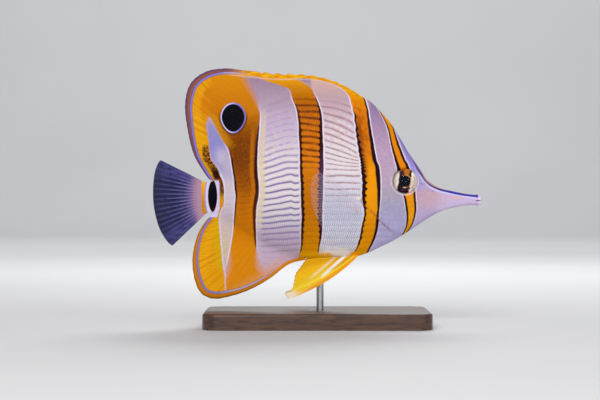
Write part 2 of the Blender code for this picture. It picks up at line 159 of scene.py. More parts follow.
def alongLine(line, share):  # points of a dense line at shares of its length
    run = lengthsAlong(line)
    run /= run[-1]
    return np.stack([np.interp(share, run, line[:, k]) for k in range(line.shape[1])], axis=-1)


def xAtHeight(points, z):  # where the curve through the points stands at a height
    line = smoothLine(points)
    order = np.argsort(line[:, 1])
    return np.interp(z, line[order, 1], line[order, 0])


def edgeHalf(x, upper):  # half the thickness left at the body's upper or lower edge
    fin, snout = skin["finEdge"], skin["snoutEdge"]
    if upper:
        return fin + (snout - fin) * smoothStep(skin["nape"], skin["headRun"][1], x)
    belly = fin + (skin["bellyEdge"] - fin) * smoothStep(*skin["bellyRun"], x)
    return belly + (snout - belly) * smoothStep(*skin["headRun"], x)


def sectionPower(x):  # how full the flank's curve is
    tailPower, trunkPower, snoutPower = skin["powers"]
    risen = tailPower + (trunkPower - tailPower) * smoothStep(*skin["tailRun"], x)
    return risen + (snoutPower - trunkPower) * smoothStep(*skin["headRun"], x)


bodyLine = smoothLine(skin["stations"])


def bodyBounds(x):  # top and bottom of the body without its fins
    return np.interp(x, bodyLine[:, 0], bodyLine[:, 1]), np.interp(x, bodyLine[:, 0], bodyLine[:, 2])


def fetched(items, name, size=1, kind=np.float32):
    values = np.empty(len(items) * size, kind)
    items.foreach_get(name, values)
    return values


def picked(made, kind="BMVert"):  # the corners or edges among what an operation made
    return [g for g in made if isinstance(g, getattr(bmesh.types, kind))]


def addObject(name, data):
    made = bpy.data.objects.new(name, data)
    bpy.context.scene.collection.objects.link(made)
    return made


def writeMesh(name, bm):
    mesh = bpy.data.meshes.new(name)
    bm.to_mesh(mesh)
    bm.free()
    return addObject(name, mesh)


def writeUnwrap(mesh, places):
    layer = mesh.uv_layers.new(name="OFBake")
    layer.data.foreach_set("uv", places.astype(np.float32).ravel())


def toWorld(points):
    return (np.asarray(points) + np.array([0, 0, axisHeight])) * mm


def vertexPlaces(mesh):  # in millimetres, heights from the long axis
    return fetched(mesh.vertices, "co", 3).reshape(-1, 3) / mm - np.array([0, 0, axisHeight])


def setPlaces(mesh, points):
    mesh.vertices.foreach_set("co", toWorld(points).astype(np.float32).ravel())
    mesh.update()


def writeFloats(mesh, name, values):
    layer = mesh.attributes.get(name) or mesh.attributes.new(name, "FLOAT", "POINT")
    layer.data.foreach_set("value", np.asarray(values, np.float32))


def writePlaces(mesh):  # where each point is, for the paint
    places = vertexPlaces(mesh)
    writeFloats(mesh, "placeX", places[:, 0])
    writeFloats(mesh, "placeZ", places[:, 2])
    return places[:, 0], places[:, 2]


# The skin: one closed surface over head, trunk, tail stalk, dorsal fin and anal fin

def columnPlaces():  # the skin's columns, counted in stations
    places = [np.linspace(k, k + 1, count, endpoint=False) for k, count in enumerate(skin["columnsPerSpan"])]
    return np.concatenate(places + [[len(skin["stations"]) - 1]])


def baseShares(x, edge, front, rear):  # share of a fin's base length at each column, 0 in front
    run = lengthsAlong(edge)
    order = np.argsort(x)
    first, last = np.interp([front, rear], x[order], run[order])
    return np.clip((run - first) / (last - first), 0, 1)


def rayRidges(phase):  # 1 on a ray, 0 halfway to the next
    return 0.5 - 0.5 * np.cos(2 * math.pi * phase)


def skinSide():  # the skin's left half, column by column from the anal fin's edge to the dorsal's
    place = columnPlaces()
    x, top, bottom, width = through(skin["stations"], place).T
    coat = skin["coat"]
    depth = coat["depth"] * between(coat["start"], coat["end"], x)
    top, bottom, width = top - depth, bottom + depth, np.maximum(width - depth, 0)
    widest = bottom + (top - bottom) * skin["widestLevel"]
    level = -np.cos(np.linspace(0, math.pi, skin["bodyRows"] + 1))
    reach = np.where(level > 0, (top - widest)[:, None], (widest - bottom)[:, None])
    widestEdge = skin["edgeShare"] * width
    upperEdge, lowerEdge = (np.minimum(edgeHalf(x, upper), widestEdge) for upper in (True, False))
    edge = np.where(level > 0, upperEdge[:, None], lowerEdge[:, None])
    spread = np.maximum(1 - level ** 2, 0) ** sectionPower(x)[:, None]
    body = np.stack([np.repeat(x[:, None], len(level), 1), edge + (width[:, None] - edge) * spread,
                     widest[:, None] + level * reach], axis=-1)
    outward = np.linspace(0, 1, skin["finRows"] + 1)[1:]
    dorsalShare = baseShares(x, np.stack([x, top], -1), skin["nape"], skin["dorsalRear"])
    analShare = baseShares(x, np.stack([x, bottom], -1), skin["analFront"], skin["analRear"])
    spiny = dorsalShare < skin["spinyShare"]
    phase = np.where(spiny, dorsalShare / skin["spinyShare"] * skin["spines"],
                     (dorsalShare - skin["spinyShare"]) / (1 - skin["spinyShare"]) * skin["softRays"])
    notch = np.where(spiny, skin["spineNotch"], skin["softNotch"])
    upper = finPart(x, top, upperEdge, dorsalShare, smoothLine(dorsalMargin), outward, phase, notch,
                    (x <= skin["nape"]) & (x >= skin["dorsalRear"]))
    lower = finPart(x, bottom, lowerEdge, analShare, smoothLine(analMargin), outward,
                    analShare * skin["analRays"], np.full(len(x), skin["softNotch"]),
                    (x <= skin["analFront"]) & (x >= skin["analRear"]))
    side = np.concatenate([lower[:, ::-1], body, upper], axis=1)
    return smoothRoots(side)


def finPart(x, edgeZ, edgeHalfs, share, margin, outward, phase, notch, grows):
    root = np.stack([x, edgeZ], -1)
    tip = np.where(grows[:, None], alongLine(margin, share), root)
    ridge = rayRidges(phase)
    reach = outward[None, :] * (1 - (notch * (1 - ridge))[:, None] * smoothStep(0, 0.1, share)[:, None])
    seen = root[:, None, :] + (tip - root)[:, None, :] * reach[..., None]
    rim = skin["finRim"]
    half = rim + (edgeHalfs[:, None] - rim) * (1 - outward[None, :]) ** skin["finTaper"]
    half = half + skin["rayRelief"] * (ridge[:, None] - 0.5) * np.sin(math.pi * outward[None, :] ** 0.7)
    tall = smoothStep(0.2, 2.5, np.linalg.norm(tip - root, axis=1))[:, None]
    half = edgeHalfs[:, None] + (half - edgeHalfs[:, None]) * np.maximum(tall, 0.35)
    half = np.where(grows[:, None], half, edgeHalfs[:, None])
    return np.stack([seen[..., 0], half, seen[..., 1]], axis=-1)


def smoothRoots(side):  # blends the flank into the fins across their roots
    steps = np.arange(-15, 20, skin["rootStep"])
    kernel = np.exp(-0.5 * (np.arange(-36, 37) * skin["rootStep"] / skin["rootBlend"]) ** 2)
    kernel /= kernel.sum()
    for rows, front in ((side, skin["analFront"]), (side[:, ::-1], skin["nape"])):
        grown = 1 - smoothStep(*skin["rootFade"], rows[:, rows.shape[1] // 2, 0] - front)
        for column, share in zip(rows, grown):
            if share == 0:
                continue
            line = column[:column.shape[0] // 2]
            tip = lengthsAlong(line[:, ::2])
            run = tip - tip[skin["finRows"]]
            even = np.convolve(np.interp(steps, run, line[:, 1]), kernel, "same")
            share = share * (1 - smoothStep(*skin["rootReach"], np.abs(run))) * smoothStep(0, 1.5, tip)
            line[:, 1] += (np.interp(run, steps, even) - line[:, 1]) * share
    return side


def shapeHead(side):  # eye sockets, gill plates, cheeks, nostrils and mouth
    x, y, z = side[..., 0], side[..., 1], side[..., 2]
    away = np.hypot(x - eye["place"][0], z - eye["place"][1])
    socket = eye["socket"]
    y = y - socket["depth"] * (1 - smoothStep(socket["floor"], socket["edge"], away)) * smoothStep(0.5, 3, y)
    y = y + socket["lidHeight"] * bell(away - socket["lid"], socket["lidWidth"])
    gillX = xAtHeight(gillLine, z)
    cheekX = cheek["rear"] - cheek["bow"] * np.clip((z - cheek["middle"]) / cheek["half"], -1, 1) ** 2
    for ridge, ahead in ((gillPlate, x - gillX), (cheek, x - cheekX)):
        raised = ridge["height"] * between(ridge["step"], ridge["slope"], ahead)
        y = y + raised * between(ridge["foot"], ridge["top"], z)
    for pitX, pitZ in nostrils["places"]:
        dx, dz = x - pitX, z - pitZ
        halfX, halfZ = nostrils["halfs"]
        y = y - nostrils["depth"] * bell(dx, halfX) * bell(dz, halfZ)
        rim = bell(np.hypot(dx, dz) - nostrils["rimRadius"], nostrils["rimWidth"])
        y = y + nostrils["rimHeight"] * rim * (y > 0.5)
    slit = bell(z - mouth["z"], mouth["half"]) * smoothStep(mouth["back"], mouth["back"] + mouth["run"], x)
    lips = bell(np.abs(z - mouth["z"]) - mouth["lipLevel"], mouth["lipWidth"]) * smoothStep(*mouth["lip"], x)
    side[..., 0] = x - slit * smoothStep(*mouth["tip"], x) * mouth["gape"]
    side[..., 1] = (y + mouth["lipHeight"] * lips * (y > 0.05)) * (1 - mouth["cut"] * slit)
    return side


def makeSkin():
    side = shapeHead(skinSide())
    columns, rows = side.shape[0] - 1, side.shape[1]
    ring = np.concatenate([side, side[:, ::-1] * np.array([1, -1, 1]), side[:, :1]], axis=1)
    bm = bmesh.new()
    bmesh.ops.create_grid(bm, x_segments=columns, y_segments=2 * rows, size=0.5)
    piece = writeMesh("skin", bm)
    mesh = piece.data
    grid = fetched(mesh.vertices, "co", 3).reshape(-1, 3) + 0.5
    across = np.rint(grid[:, 0] * columns).astype(int)
    around = np.rint(grid[:, 1] * 2 * rows).astype(int)
    setPlaces(mesh, ring[across, around])
    corners = fetched(mesh.loops, "vertex_index", 1, np.int32)
    writeUnwrap(mesh, skin["unwrapEdge"] + (1 - 2 * skin["unwrapEdge"]) * grid[corners, :2])
    bm = bmesh.new()
    bm.from_mesh(mesh)
    bmesh.ops.remove_doubles(bm, verts=bm.verts, dist=skin["mergeWithin"])
    bmesh.ops.dissolve_degenerate(bm, edges=bm.edges, dist=skin["leastEdge"])
    bmesh.ops.holes_fill(bm, edges=[e for e in bm.edges if e.is_boundary], sides=0)
    bmesh.ops.recalc_face_normals(bm, faces=bm.faces)
    bm.to_mesh(mesh)
    bm.free()
    mesh.shade_smooth()
    return piece


skinPiece = makeSkin()
print("skin", len(skinPiece.data.polygons))

# The markings: distances and coordinates that the paint reads, written on every piece of flesh

markings = {
    "rearBand": {
        "rear": [(-58, 62), (-62.5, 56), (-62, 46), (-53.9, 41.4), (-49.6, 34), (-47.5, 30), (-45.65, 27.5),
                 (-44.2, 25), (-42.95, 20), (-42.25, 15), (-41.4, 10), (-40.95, 5), (-40.55, 2.5), (-40.7, 0),
                 (-41.1, -5), (-41.6, -12), (-42.4, -19), (-43.9, -28), (-46, -38), (-55, -48)],
        "front": [(-36.5, 64), (-34.6, 58), (-32.2, 53.5), (-30.4, 50), (-28.9, 45), (-28.5, 41),
                  (-28.8, 36), (-29.2, 30), (-29.5, 25), (-29.65, 17.5), (-29.5, 12.5), (-28.95, 7),
                  (-29, 2.5), (-29.6, -1), (-30.3, -5), (-30.5, -10), (-30.4, -18), (-30.2, -26),
                  (-29, -33), (-26.5, -38), (-22, -44)],
    },
    "midBand": {
        "rear": [(-29, 61), (-26, 59.7), (-20, 57.8), (-15.2, 56), (-13.3, 54.5), (-12.15, 50), (-11, 47.5),
                 (-10.2, 45), (-9.6, 42), (-9.2, 37), (-8.9, 30), (-8.6, 24), (-8.5, 15), (-8.1, 7.5),
                 (-8, -1), (-7.7, -8), (-8, -17), (-8, -23), (-8.9, -27.5), (-9.6, -33)],
        "front": [(-12, 61), (-8.5, 59.6), (-5, 57.6), (-2.6, 55.5), (-1.3, 52.5), (-0.2, 50), (0.8, 47.5),
                  (1.65, 45), (2.25, 42), (2.5, 38), (2.6, 33), (3, 25), (3.05, 15), (2.8, 5), (2.55, -5),
                  (2.5, -12.5), (2.25, -17.5), (1.3, -22.5), (0.8, -26), (0.4, -33)],
    },
    "frontBand": {
        "rear": [(9.5, 57.4), (12, 56), (14, 54.5), (15.65, 52.5), (16.7, 50), (17.3, 47.5), (18.3, 42.5),
                 (19, 37), (19.3, 32.5), (20, 27.5), (20.75, 22.5), (21.5, 18), (21.9, 13), (22.3, 8.5),
                 (22.1, 3), (22.6, -2), (23.2, -5), (23.2, -8), (22.2, -12.5), (21.3, -17.5), (20, -22.5),
                 (18.6, -25.5), (15, -28.5), (10, -31)],
        "front": [(20, 56), (22.4, 52.8), (24, 50), (24.75, 47.5), (25.4, 44.5), (26, 40), (26.7, 35),
                  (27.6, 30), (28.4, 25), (29.3, 20), (30.5, 17), (31.05, 13.5), (31.3, 8), (31.2, 0),
                  (30.5, -7), (30.5, -10.5), (30, -15), (28.5, -20), (27, -23), (25, -27)],
    },
    "eyeBand": {
        "rear": [(28.5, 50), (30.8, 45), (33.4, 40), (35.2, 35), (36.2, 30), (37.15, 25), (38.5, 20),
                 (39.3, 17), (40.4, 11), (41.8, 5.5), (42.7, 2.5), (43.7, -2.5), (44.35, -7), (44.5, -10),
                 (44.2, -13), (43.2, -15.5), (42, -18)],
        "front": [(33, 47), (35.2, 43), (36.7, 40), (38.5, 35), (40, 30), (41.9, 25), (43.8, 20),
                  (45.4, 17.2), (47.4, 11), (48.6, 5), (48.85, 2.5), (49.2, -2), (49.3, -5), (48.7, -8.5),
                  (47.6, -12.2), (46, -14.8), (44, -18)],
    },
    "wedge": {
        "rear": [(-53.9, 41.4), (-55.2, 37), (-54.5, 33), (-54, 28), (-53.3, 22.5), (-52.6, 19.8),
                 (-50.75, 17.5), (-49.2, 15), (-48.3, 12.5), (-47, 9.5), (-46.4, 5), (-46.4, 0),
                 (-46.9, -3.2), (-48.3, -5.6), (-49, -9), (-48.7, -15), (-47.9, -25), (-47, -33),
                 (-46.2, -37.6)],
    },
    "wedgeEnds": (41.4, -37.6),
    "dorsalLineShown": (0.4, 0.5),
    "analLineShown": (0.1, 0.34),
    "snoutLine": [(44.6, 25.6), (46.2, 22.4), (47.3, 20), (48.75, 17.75), (50.25, 15), (52.15, 12.3),
                  (53.5, 10.15), (55.5, 8.1), (58, 6.5), (61.5, 5.1), (64.5, 4.45), (67.5, 3.75),
                  (71.5, 2.95), (76.5, 2.25), (80.6, 1.75)],
    "dorsalLineDepth": [(0, 1.6), (0.45, 1.8), (0.52, 2.4), (0.58, 3), (0.66, 3.3), (0.76, 2.9), (0.85, 2.2),
                        (0.93, 1.6), (1, 0.9)],
    "analLineDepth": [(0, 1.4), (0.2, 1.9), (0.4, 2.5), (0.5, 3.1), (0.62, 3.2), (0.72, 2.7), (0.8, 2.3),
                      (0.9, 1.7), (1, 0.9)],
    "rowHeight": 3.15,
    "arch": {"drop": 3.75, "from": -14.5, "reach": 12, "power": 1.2, "run": (2, 16)},
    "slant": {"drop": 3.1, "from": -8.5, "reach": 18, "least": 0.25, "run": (-28, 0)},
    "fall": {"drop": 6.9, "from": -8.5, "reach": 25.5, "power": 1.9, "longest": 34, "run": (12, 24),
             "back": 0.45, "backRun": (34, 46)},
    "jog": {"size": 0.3, "run": (-13.2, -10.8), "foot": (-14, -8), "top": (10, 16)},
    "waves": [(0.035, 0.55, 0.4, 0), (0.04, 0.24, -0.5, 1.3)],  # height, turn by x, turn by z, start
    "lean": {"share": 0.34, "runX": (5, 15), "runZ": (2, -8)},
    "firstColumn": -66,
    "lastColumn": 60,
}
sharedEdge = markings["rearBand"]["rear"][3:17]
markings["wedge"]["front"] = sharedEdge + [(-43.9, -27.5), (-45.4, -34), (-46.2, -37.6)]


def nearestOnLine(line, x, z):  # distance to a dense line and the share of the way along it
    tree = KDTree(len(line))
    for k, (px, pz) in enumerate(line):
        tree.insert((px, pz, 0), k)
    tree.balance()
    found = np.array([tree.find((px, pz, 0))[1:] for px, pz in zip(x.tolist(), z.tolist())])
    return found[:, 1], found[:, 0] / (len(line) - 1)


def rowNumber(x, z):  # scale rows: arched behind the middle, level low down, falling towards the gill
    arch, slant, fall, jog = (markings[key] for key in ("arch", "slant", "fall", "jog"))
    high = smoothStep(*arch["run"], z)
    upper = arch["drop"] * (np.maximum(arch["from"] - x, 0) / arch["reach"]) ** arch["power"]
    lower = slant["drop"] * np.maximum(slant["from"] - x, 0) / slant["reach"]
    lower = lower * (slant["least"] + (1 - slant["least"]) * smoothStep(*slant["run"], z))
    behind = upper * high + lower * (1 - high)
    ahead = fall["drop"] * (np.clip(x - fall["from"], 0, fall["longest"]) / fall["reach"]) ** fall["power"]
    ahead = ahead * smoothStep(*fall["run"], z) * (1 - fall["back"] * smoothStep(*fall["backRun"], z))
    shift = jog["size"] * smoothStep(*jog["run"], x) * between(jog["foot"], jog["top"], z)
    waves = sum(size * np.sin(byX * x + byZ * z + start) for size, byX, byZ, start in markings["waves"])
    return (z + behind + ahead) / markings["rowHeight"] + shift + waves


dorsalLine, analLine = (alongLine(smoothLine(p), np.linspace(0, 1, 500)) for p in (dorsalMargin, analMargin))


def markPiece(mesh):
    x, z = writePlaces(mesh)
    for name in ("rearBand", "midBand", "frontBand", "eyeBand", "wedge"):
        writeFloats(mesh, name + "Rear", x - xAtHeight(markings[name]["rear"], z))
        writeFloats(mesh, name + "Front", xAtHeight(markings[name]["front"], z) - x)
    upper, upperShare = nearestOnLine(dorsalLine, x, z)
    lower, lowerShare = nearestOnLine(analLine, x, z)
    above = upper < lower
    depth = np.where(above, np.interp(upperShare, *zip(*markings["dorsalLineDepth"])),
                     np.interp(lowerShare, *zip(*markings["analLineDepth"])))
    rim = np.minimum(upper, lower)
    shown = np.where(above, smoothStep(*markings["dorsalLineShown"], upperShare),
                     smoothStep(*markings["analLineShown"], lowerShare))
    snout = smoothLine(markings["snoutLine"])
    order = np.argsort(snout[:, 0])
    above = z - np.interp(x, snout[order, 0], snout[order, 1])
    for name, values in {
        "rim": rim, "rimLine": rim - depth, "rimShown": shown, "row": rowNumber(x, z),
        "snoutLine": nearestOnLine(snout, x, z)[0] * np.sign(above),
        "gill": nearestOnLine(smoothLine(gillLine), x, z)[0],
    }.items():
        writeFloats(mesh, name, values)


markPiece(skinPiece.data)
print("markings written")

# Scales: joined plates that follow the rows and lie on the skin

scales = {
    "flank": {"step": 0.95, "perRow": 1, "length": 1.6, "lift": (0.01, 0.055), "sunk": -0.035, "dome": 0.025,
              "side": 5, "halfGap": 0.03, "round": 0.22, "leastFacing": 0.36},
    "head": {"step": 0.95, "perRow": 3, "length": 1.4, "lift": (0.01, 0.045), "sunk": -0.04, "dome": 0.02,
             "side": 4, "halfGap": 0, "round": 0.25, "leastFacing": 0.36},
    "fin": {"step": 1, "perRow": 2, "length": 1.5, "lift": (0.01, 0.035), "sunk": -0.03, "dome": 0.01,
            "side": 4, "halfGap": 0, "round": 0.25, "leastFacing": 0.36},
}
patchSize = 0.003  # of a scale's patch on the unwrap
plateSteps = {  # where a plate's points lie along and across it, by points on a side
    5: ([0, 0.3, 0.65, 0.94, 1], [-1, -0.86, 0, 0.86, 1]),
    4: ([0, 0.45, 0.92, 1], [-1, -0.75, 0.75, 1]),
}
scaleNudge = 0.05
rowSearch = {"rows": 24, "rounds": 30, "stride": 0.6}
bare = {  # millimetres left without scales, from the edges of body, gill, eye and fins
    "bodyRear": -50.5, "bodyEdge": 0.6, "flankEdge": 1.3, "flankGill": 0.2, "headEdge": 1, "headGill": 1.4,
    "headFront": 56, "eye": 7.6, "spinyRim": 2.8, "softRim": 4.3, "finRear": -64, "finFront": 20,
}
calm = {"edge": 0.7, "edgeReach": (0.6, 4.5), "belly": 0.45, "bellyReach": (-26, -6)}  # flatter plates
inward = Vector((0, -1, 0))
castFrom = 40
castReach = 39.9
skinTree = BVHTree.FromPolygons([v.co[:] for v in skinPiece.data.vertices],
                                [p.vertices[:] for p in skinPiece.data.polygons])


def castAtSkin(x, z):  # from the left side inwards, no farther than the middle
    return skinTree.ray_cast(Vector((x, castFrom, z + axisHeight)) * mm, inward, castReach * mm)


def plateTemplate(side):  # one plate: shares along and across it, its rim and its faces
    steps = plateSteps[side]
    bm = bmesh.new()
    bmesh.ops.create_grid(bm, x_segments=side - 1, y_segments=side - 1, size=0.5)
    bm.verts.index_update()
    cells = [(round((v.co.x + 0.5) * (side - 1)), round((v.co.y + 0.5) * (side - 1))) for v in bm.verts]
    faces = np.array([[v.index for v in f.verts] for f in bm.faces])
    bm.free()
    along = np.array([steps[0][a] for a, _ in cells])
    across = np.array([steps[1][b] for _, b in cells])
    rimmed = np.array([a in (0, side - 1) or b in (0, side - 1) for a, b in cells])
    return along, across, rimmed, faces


def leanAt(x, z):  # plates of the breast lean back at the top
    lean = markings["lean"]
    return lean["share"] * smoothStep(*lean["runX"], x) * smoothStep(*lean["runZ"], z)


def plateRoots(kind):  # where each plate of a kind grows, x and z
    step, perRow = scales[kind]["step"], scales[kind]["perRow"]
    roots = []
    for k in range(-rowSearch["rows"] * perRow, rowSearch["rows"] * perRow):
        x = np.arange(markings["firstColumn"], markings["lastColumn"], step) + (0.5 * step if k % 2 else 0)
        target = (k + 0.5) / perRow
        z = np.full(len(x), target * markings["rowHeight"])
        for _ in range(rowSearch["rounds"]):
            z = z - (rowNumber(x, z) - target) * markings["rowHeight"] * rowSearch["stride"]
        roots.append(np.stack([x, z], -1))
    roots = np.concatenate(roots)
    x, z = roots[:, 0], roots[:, 1]
    top, bottom = bodyBounds(x)
    gillX = xAtHeight(gillLine, z)
    inside = np.minimum(top - z, z - bottom)
    inBody = (inside > bare["bodyEdge"]) & (x > bare["bodyRear"])
    if kind == "flank":
        keep = inBody & (x < gillX - bare["flankGill"]) & (inside > bare["flankEdge"])
    elif kind == "head":
        eyeAway = np.hypot(x - eye["place"][0], z - eye["place"][1])
        keep = inBody & (x > gillX + bare["headGill"]) & (x < bare["headFront"])
        keep &= (eyeAway > bare["eye"]) & (inside > bare["headEdge"])
    else:
        upper, share = nearestOnLine(dorsalLine, x, z)
        lower, _ = nearestOnLine(analLine, x, z)
        rim = np.where((z >= 0) & (share < skin["spinyShare"]), bare["spinyRim"], bare["softRim"])
        keep = ~inBody & (np.minimum(upper, lower) > rim) & (x > bare["finRear"]) & (x < bare["finFront"])
    return roots[keep]


def layPlates(kind):  # sets a kind's plates on the left flank and mirrors them
    settings = scales[kind]
    along, across, rimmed, faces = plateTemplate(settings["side"])
    roots = plateRoots(kind)
    rootX, rootZ = roots[:, 0], roots[:, 1]
    halfHeight = 0.5 * markings["rowHeight"] / settings["perRow"] - settings["halfGap"]
    nudge = rng.uniform(-scaleNudge, scaleNudge, (len(roots), 1))
    low, high = settings["lift"]
    rounded = along * (1 - settings["round"] * across ** 2)
    lean = leanAt(rootX, rootZ)[:, None] * (kind == "flank")
    x = roots[:, :1] + nudge + (0.5 - rounded) * settings["length"] - lean * across * halfHeight
    slope = rowNumber(rootX + 0.5, rootZ) - rowNumber(rootX - 0.5, rootZ)
    top, bottom = bodyBounds(rootX)
    inside = np.minimum(top - rootZ, rootZ - bottom)
    shares = 1 - calm["edge"] * (1 - smoothStep(*calm["edgeReach"], inside))
    if kind == "flank":
        shares = shares * (1 - calm["belly"] * (1 - smoothStep(*calm["bellyReach"], rootZ)))
    z = roots[:, 1:] + across * halfHeight - slope[:, None] * markings["rowHeight"] * (x - roots[:, :1])
    lift = low + (high - low) * along + settings["dome"] * (1 - across ** 2)
    unwrap = skinPiece.data.uv_layers["OFBake"].data
    polygons = skinPiece.data.polygons
    points, patches = [], []
    for plateX, plateZ, share in zip(x, z, shares):
        plate = []
        for px, pz, up in zip(plateX, plateZ, np.where(rimmed, settings["sunk"], lift * share)):
            hit, normal, face, _ = castAtSkin(px, pz)
            if hit is None or normal.y < settings["leastFacing"]:
                break
            plate.append((hit + normal * (up * mm))[:])
        else:
            points.append(plate)
            patches.append(unwrap[polygons[face].loop_start].uv[:])
    points, patches = np.array(points), np.array(patches)
    count, size = points.shape[:2]
    spread = np.stack([along - 0.5, across * 0.5], -1) * patchSize
    for name, sign in (("left", 1), ("right", -1)):
        every = faces if sign > 0 else faces[:, ::-1]
        quads = (every[None] + (np.arange(count) * size)[:, None, None]).reshape(-1, 4)
        placed = (points * np.array([1, sign, 1])).reshape(-1, 3)
        mesh = bpy.data.meshes.new(f"{kind}_scales_{name}")
        mesh.from_pydata(placed.tolist(), [], quads.tolist())
        corner = quads.ravel()
        sidePatches = patches if sign > 0 else patches * np.array([1, -1]) + np.array([0, 1])
        writeUnwrap(mesh, sidePatches[corner // size] + spread[corner % size])
        markPiece(mesh)
        mesh.shade_smooth()
        faceOutwards(mesh, sign)
        yield addObject(mesh.name, mesh)


def faceOutwards(mesh, sign):  # a plate's top faces away from the fish
    if fetched(mesh.polygons, "normal", 3)[1::3].mean() * sign < 0:
        mesh.flip_normals()


scalePieces = [piece for kind in ("flank", "head", "fin") for piece in layPlates(kind)]
print("scales", sum(len(p.data.polygons) for p in scalePieces))

# Paint: small helpers for node trees, then one finish for all scaled flesh

def tint(red, green, blue):
    linear = [c / 3294.6 if c <= 10.31 else ((c / 255 + 0.055) / 1.055) ** 2.4 for c in (red, green, blue)]
    return (*linear, 1)


def worker(operation, turned=False):
    def work(self, other=0):
        pair = (other, self) if turned else (self, other)
        return self.paint.out("ShaderNodeMath", 0, dict(enumerate(pair)), operation=operation)
    return work


class Reading:  # a number in a paint's node tree, which adds and multiplies as a plain one does
    def __init__(self, paint, socket):
        self.paint, self.socket = paint, socket

    __add__, __radd__ = worker("ADD"), worker("ADD", True)
    __sub__, __rsub__ = worker("SUBTRACT"), worker("SUBTRACT", True)
    __mul__, __rmul__ = worker("MULTIPLY"), worker("MULTIPLY", True)
    __truediv__, __pow__, __mod__ = worker("DIVIDE"), worker("POWER"), worker("FLOORED_MODULO")
    __abs__, fract, floor, sqrt = worker("ABSOLUTE"), worker("FRACT"), worker("FLOOR"), worker("SQRT")
    most, least, turnTo = worker("MAXIMUM"), worker("MINIMUM"), worker("ARCTAN2")

    def __neg__(self):
        return self * -1

    def blend(self, first, second):  # a number from first to second
        return self.paint.out("ShaderNodeMapRange", 0, {"Value": self, "To Min": first, "To Max": second},
                              clamp=False)

    def step(self, low, high):  # 0 at low and 1 at high, whichever is greater
        return self.paint.out("ShaderNodeMapRange", 0, {"Value": self, "From Min": low, "From Max": high},
                              interpolation_type="SMOOTHSTEP", clamp=False)

    def over(self, limit, soft):
        return self.step(limit - soft, limit + soft)

    def under(self, limit, soft):
        return self.step(limit + soft, limit - soft)

    def within(self, low, high, soft):
        return self.over(low, soft) * self.under(high, soft)


class Paint:
    levels = (-52, 68)  # the heights that colours by height run between

    def __init__(self, name):
        self.material = bpy.data.materials.new(name)
        self.material.use_nodes = True
        self.tree = self.material.node_tree
        self.shader = self.tree.nodes["Principled BSDF"]
        self.place = self.out("ShaderNodeTexCoord", "Object")

    def put(self, socket, value):  # sets a socket, or links it
        if isinstance(value, Reading):
            self.tree.links.new(value.socket, socket)
        else:
            socket.default_value = value

    def out(self, kind, output, values=None, **settings):
        made = self.tree.nodes.new(kind)
        for name, value in settings.items():
            setattr(made, name, value)
        for key, value in (values or {}).items():
            self.put(made.inputs[key], value)
        return Reading(self, made.outputs[output])

    def read(self, name):
        return self.out("ShaderNodeAttribute", "Fac", attribute_name=name)

    def seen(self):  # where a point is, seen from the side
        self.x, self.z = self.read("placeX"), self.read("placeZ")
        low, high = self.levels
        self.level = self.out("ShaderNodeMapRange", 0, {"Value": self.z, "From Min": low, "From Max": high},
                              clamp=False)
        return self.x, self.z

    def mix(self, factor, first, second):
        made = self.tree.nodes.new("ShaderNodeMix")
        made.data_type = "RGBA"
        self.put(made.inputs["Factor"], factor)
        for socket, value in zip([s for s in made.inputs if s.type == "RGBA"], (first, second)):
            self.put(socket, tint(*value) if isinstance(value, tuple) else value)
        return Reading(self, next(s for s in made.outputs if s.type == "RGBA"))

    def noise(self, scale, detail=2, stretch=None, roughness=0.5):  # scale in features per millimetre
        vector = self.place
        if stretch:
            vector = self.out("ShaderNodeMapping", 0, {"Vector": vector, "Scale": stretch})
        return self.out("ShaderNodeTexNoise", "Fac", {"Vector": vector, "Scale": scale / mm, "Detail": detail,
                                                      "Roughness": roughness})

    def ramp(self, value, stops, output="Color"):
        made = self.tree.nodes.new("ShaderNodeValToRGB")
        self.put(made.inputs["Fac"], value)
        elements = made.color_ramp.elements
        while len(elements) < len(stops):
            elements.new(0.5)
        for element, at in zip(elements, sorted(stops)):
            element.position = at
        for element, (_, colour) in zip(made.color_ramp.elements, sorted(stops.items())):
            element.color = tint(*colour) if len(colour) == 3 else colour
        return Reading(self, made.outputs[output])

    def heights(self, stops, output="Color"):  # colours by height above the long axis
        low, high = self.levels
        shares = {(z - low) / (high - low): colour for z, colour in stops.items()}
        return self.ramp(self.level, shares, output)

    def byHeight(self, stops):  # a number under 4 by height above the long axis
        return self.heights({z: (0, 0, 0, value / 4) for z, value in stops.items()}, "Alpha") * 4

    def streak(self, start, end, half, soft):  # 1 on a straight stroke between two places, seen from the side
        (x0, z0), (x1, z1) = start, end
        length = math.hypot(x1 - x0, z1 - z0)
        alongX, alongZ = (x1 - x0) / length, (z1 - z0) / length
        fromX, fromZ = self.x - x0, self.z - z0
        along = fromX * alongX + fromZ * alongZ
        aside = fromX * alongZ - fromZ * alongX
        return along.within(0, length, 4 * soft) * aside.within(-half, half, soft)

    def oval(self, centre, radii):  # 1 on the outline of an oval, less inside it
        dx, dz = (self.x - centre[0]) / radii[0], (self.z - centre[1]) / radii[1]
        return (dx * dx + dz * dz).sqrt()

    def lay(self, colour, *masks):  # one more coat of paint where every mask is up
        self.colour = self.mix(math.prod(masks[1:], start=masks[0]), self.colour, colour)

    def layIn(self, mask, under):  # keeps the coats laid since under only where the mask is up
        self.colour = self.mix(mask, under, self.colour)

    def finish(self, colour=None, bump=None, **values):
        self.put(self.shader.inputs["Base Color"], colour or self.colour)
        if bump:
            height, strength, distance = bump
            self.put(self.shader.inputs["Normal"], self.out("ShaderNodeBump", 0, {
                "Height": height, "Strength": strength, "Distance": distance * mm}))
        for name, value in values.items():
            self.put(self.shader.inputs[name.replace("_", " ")], value)
        return self.material


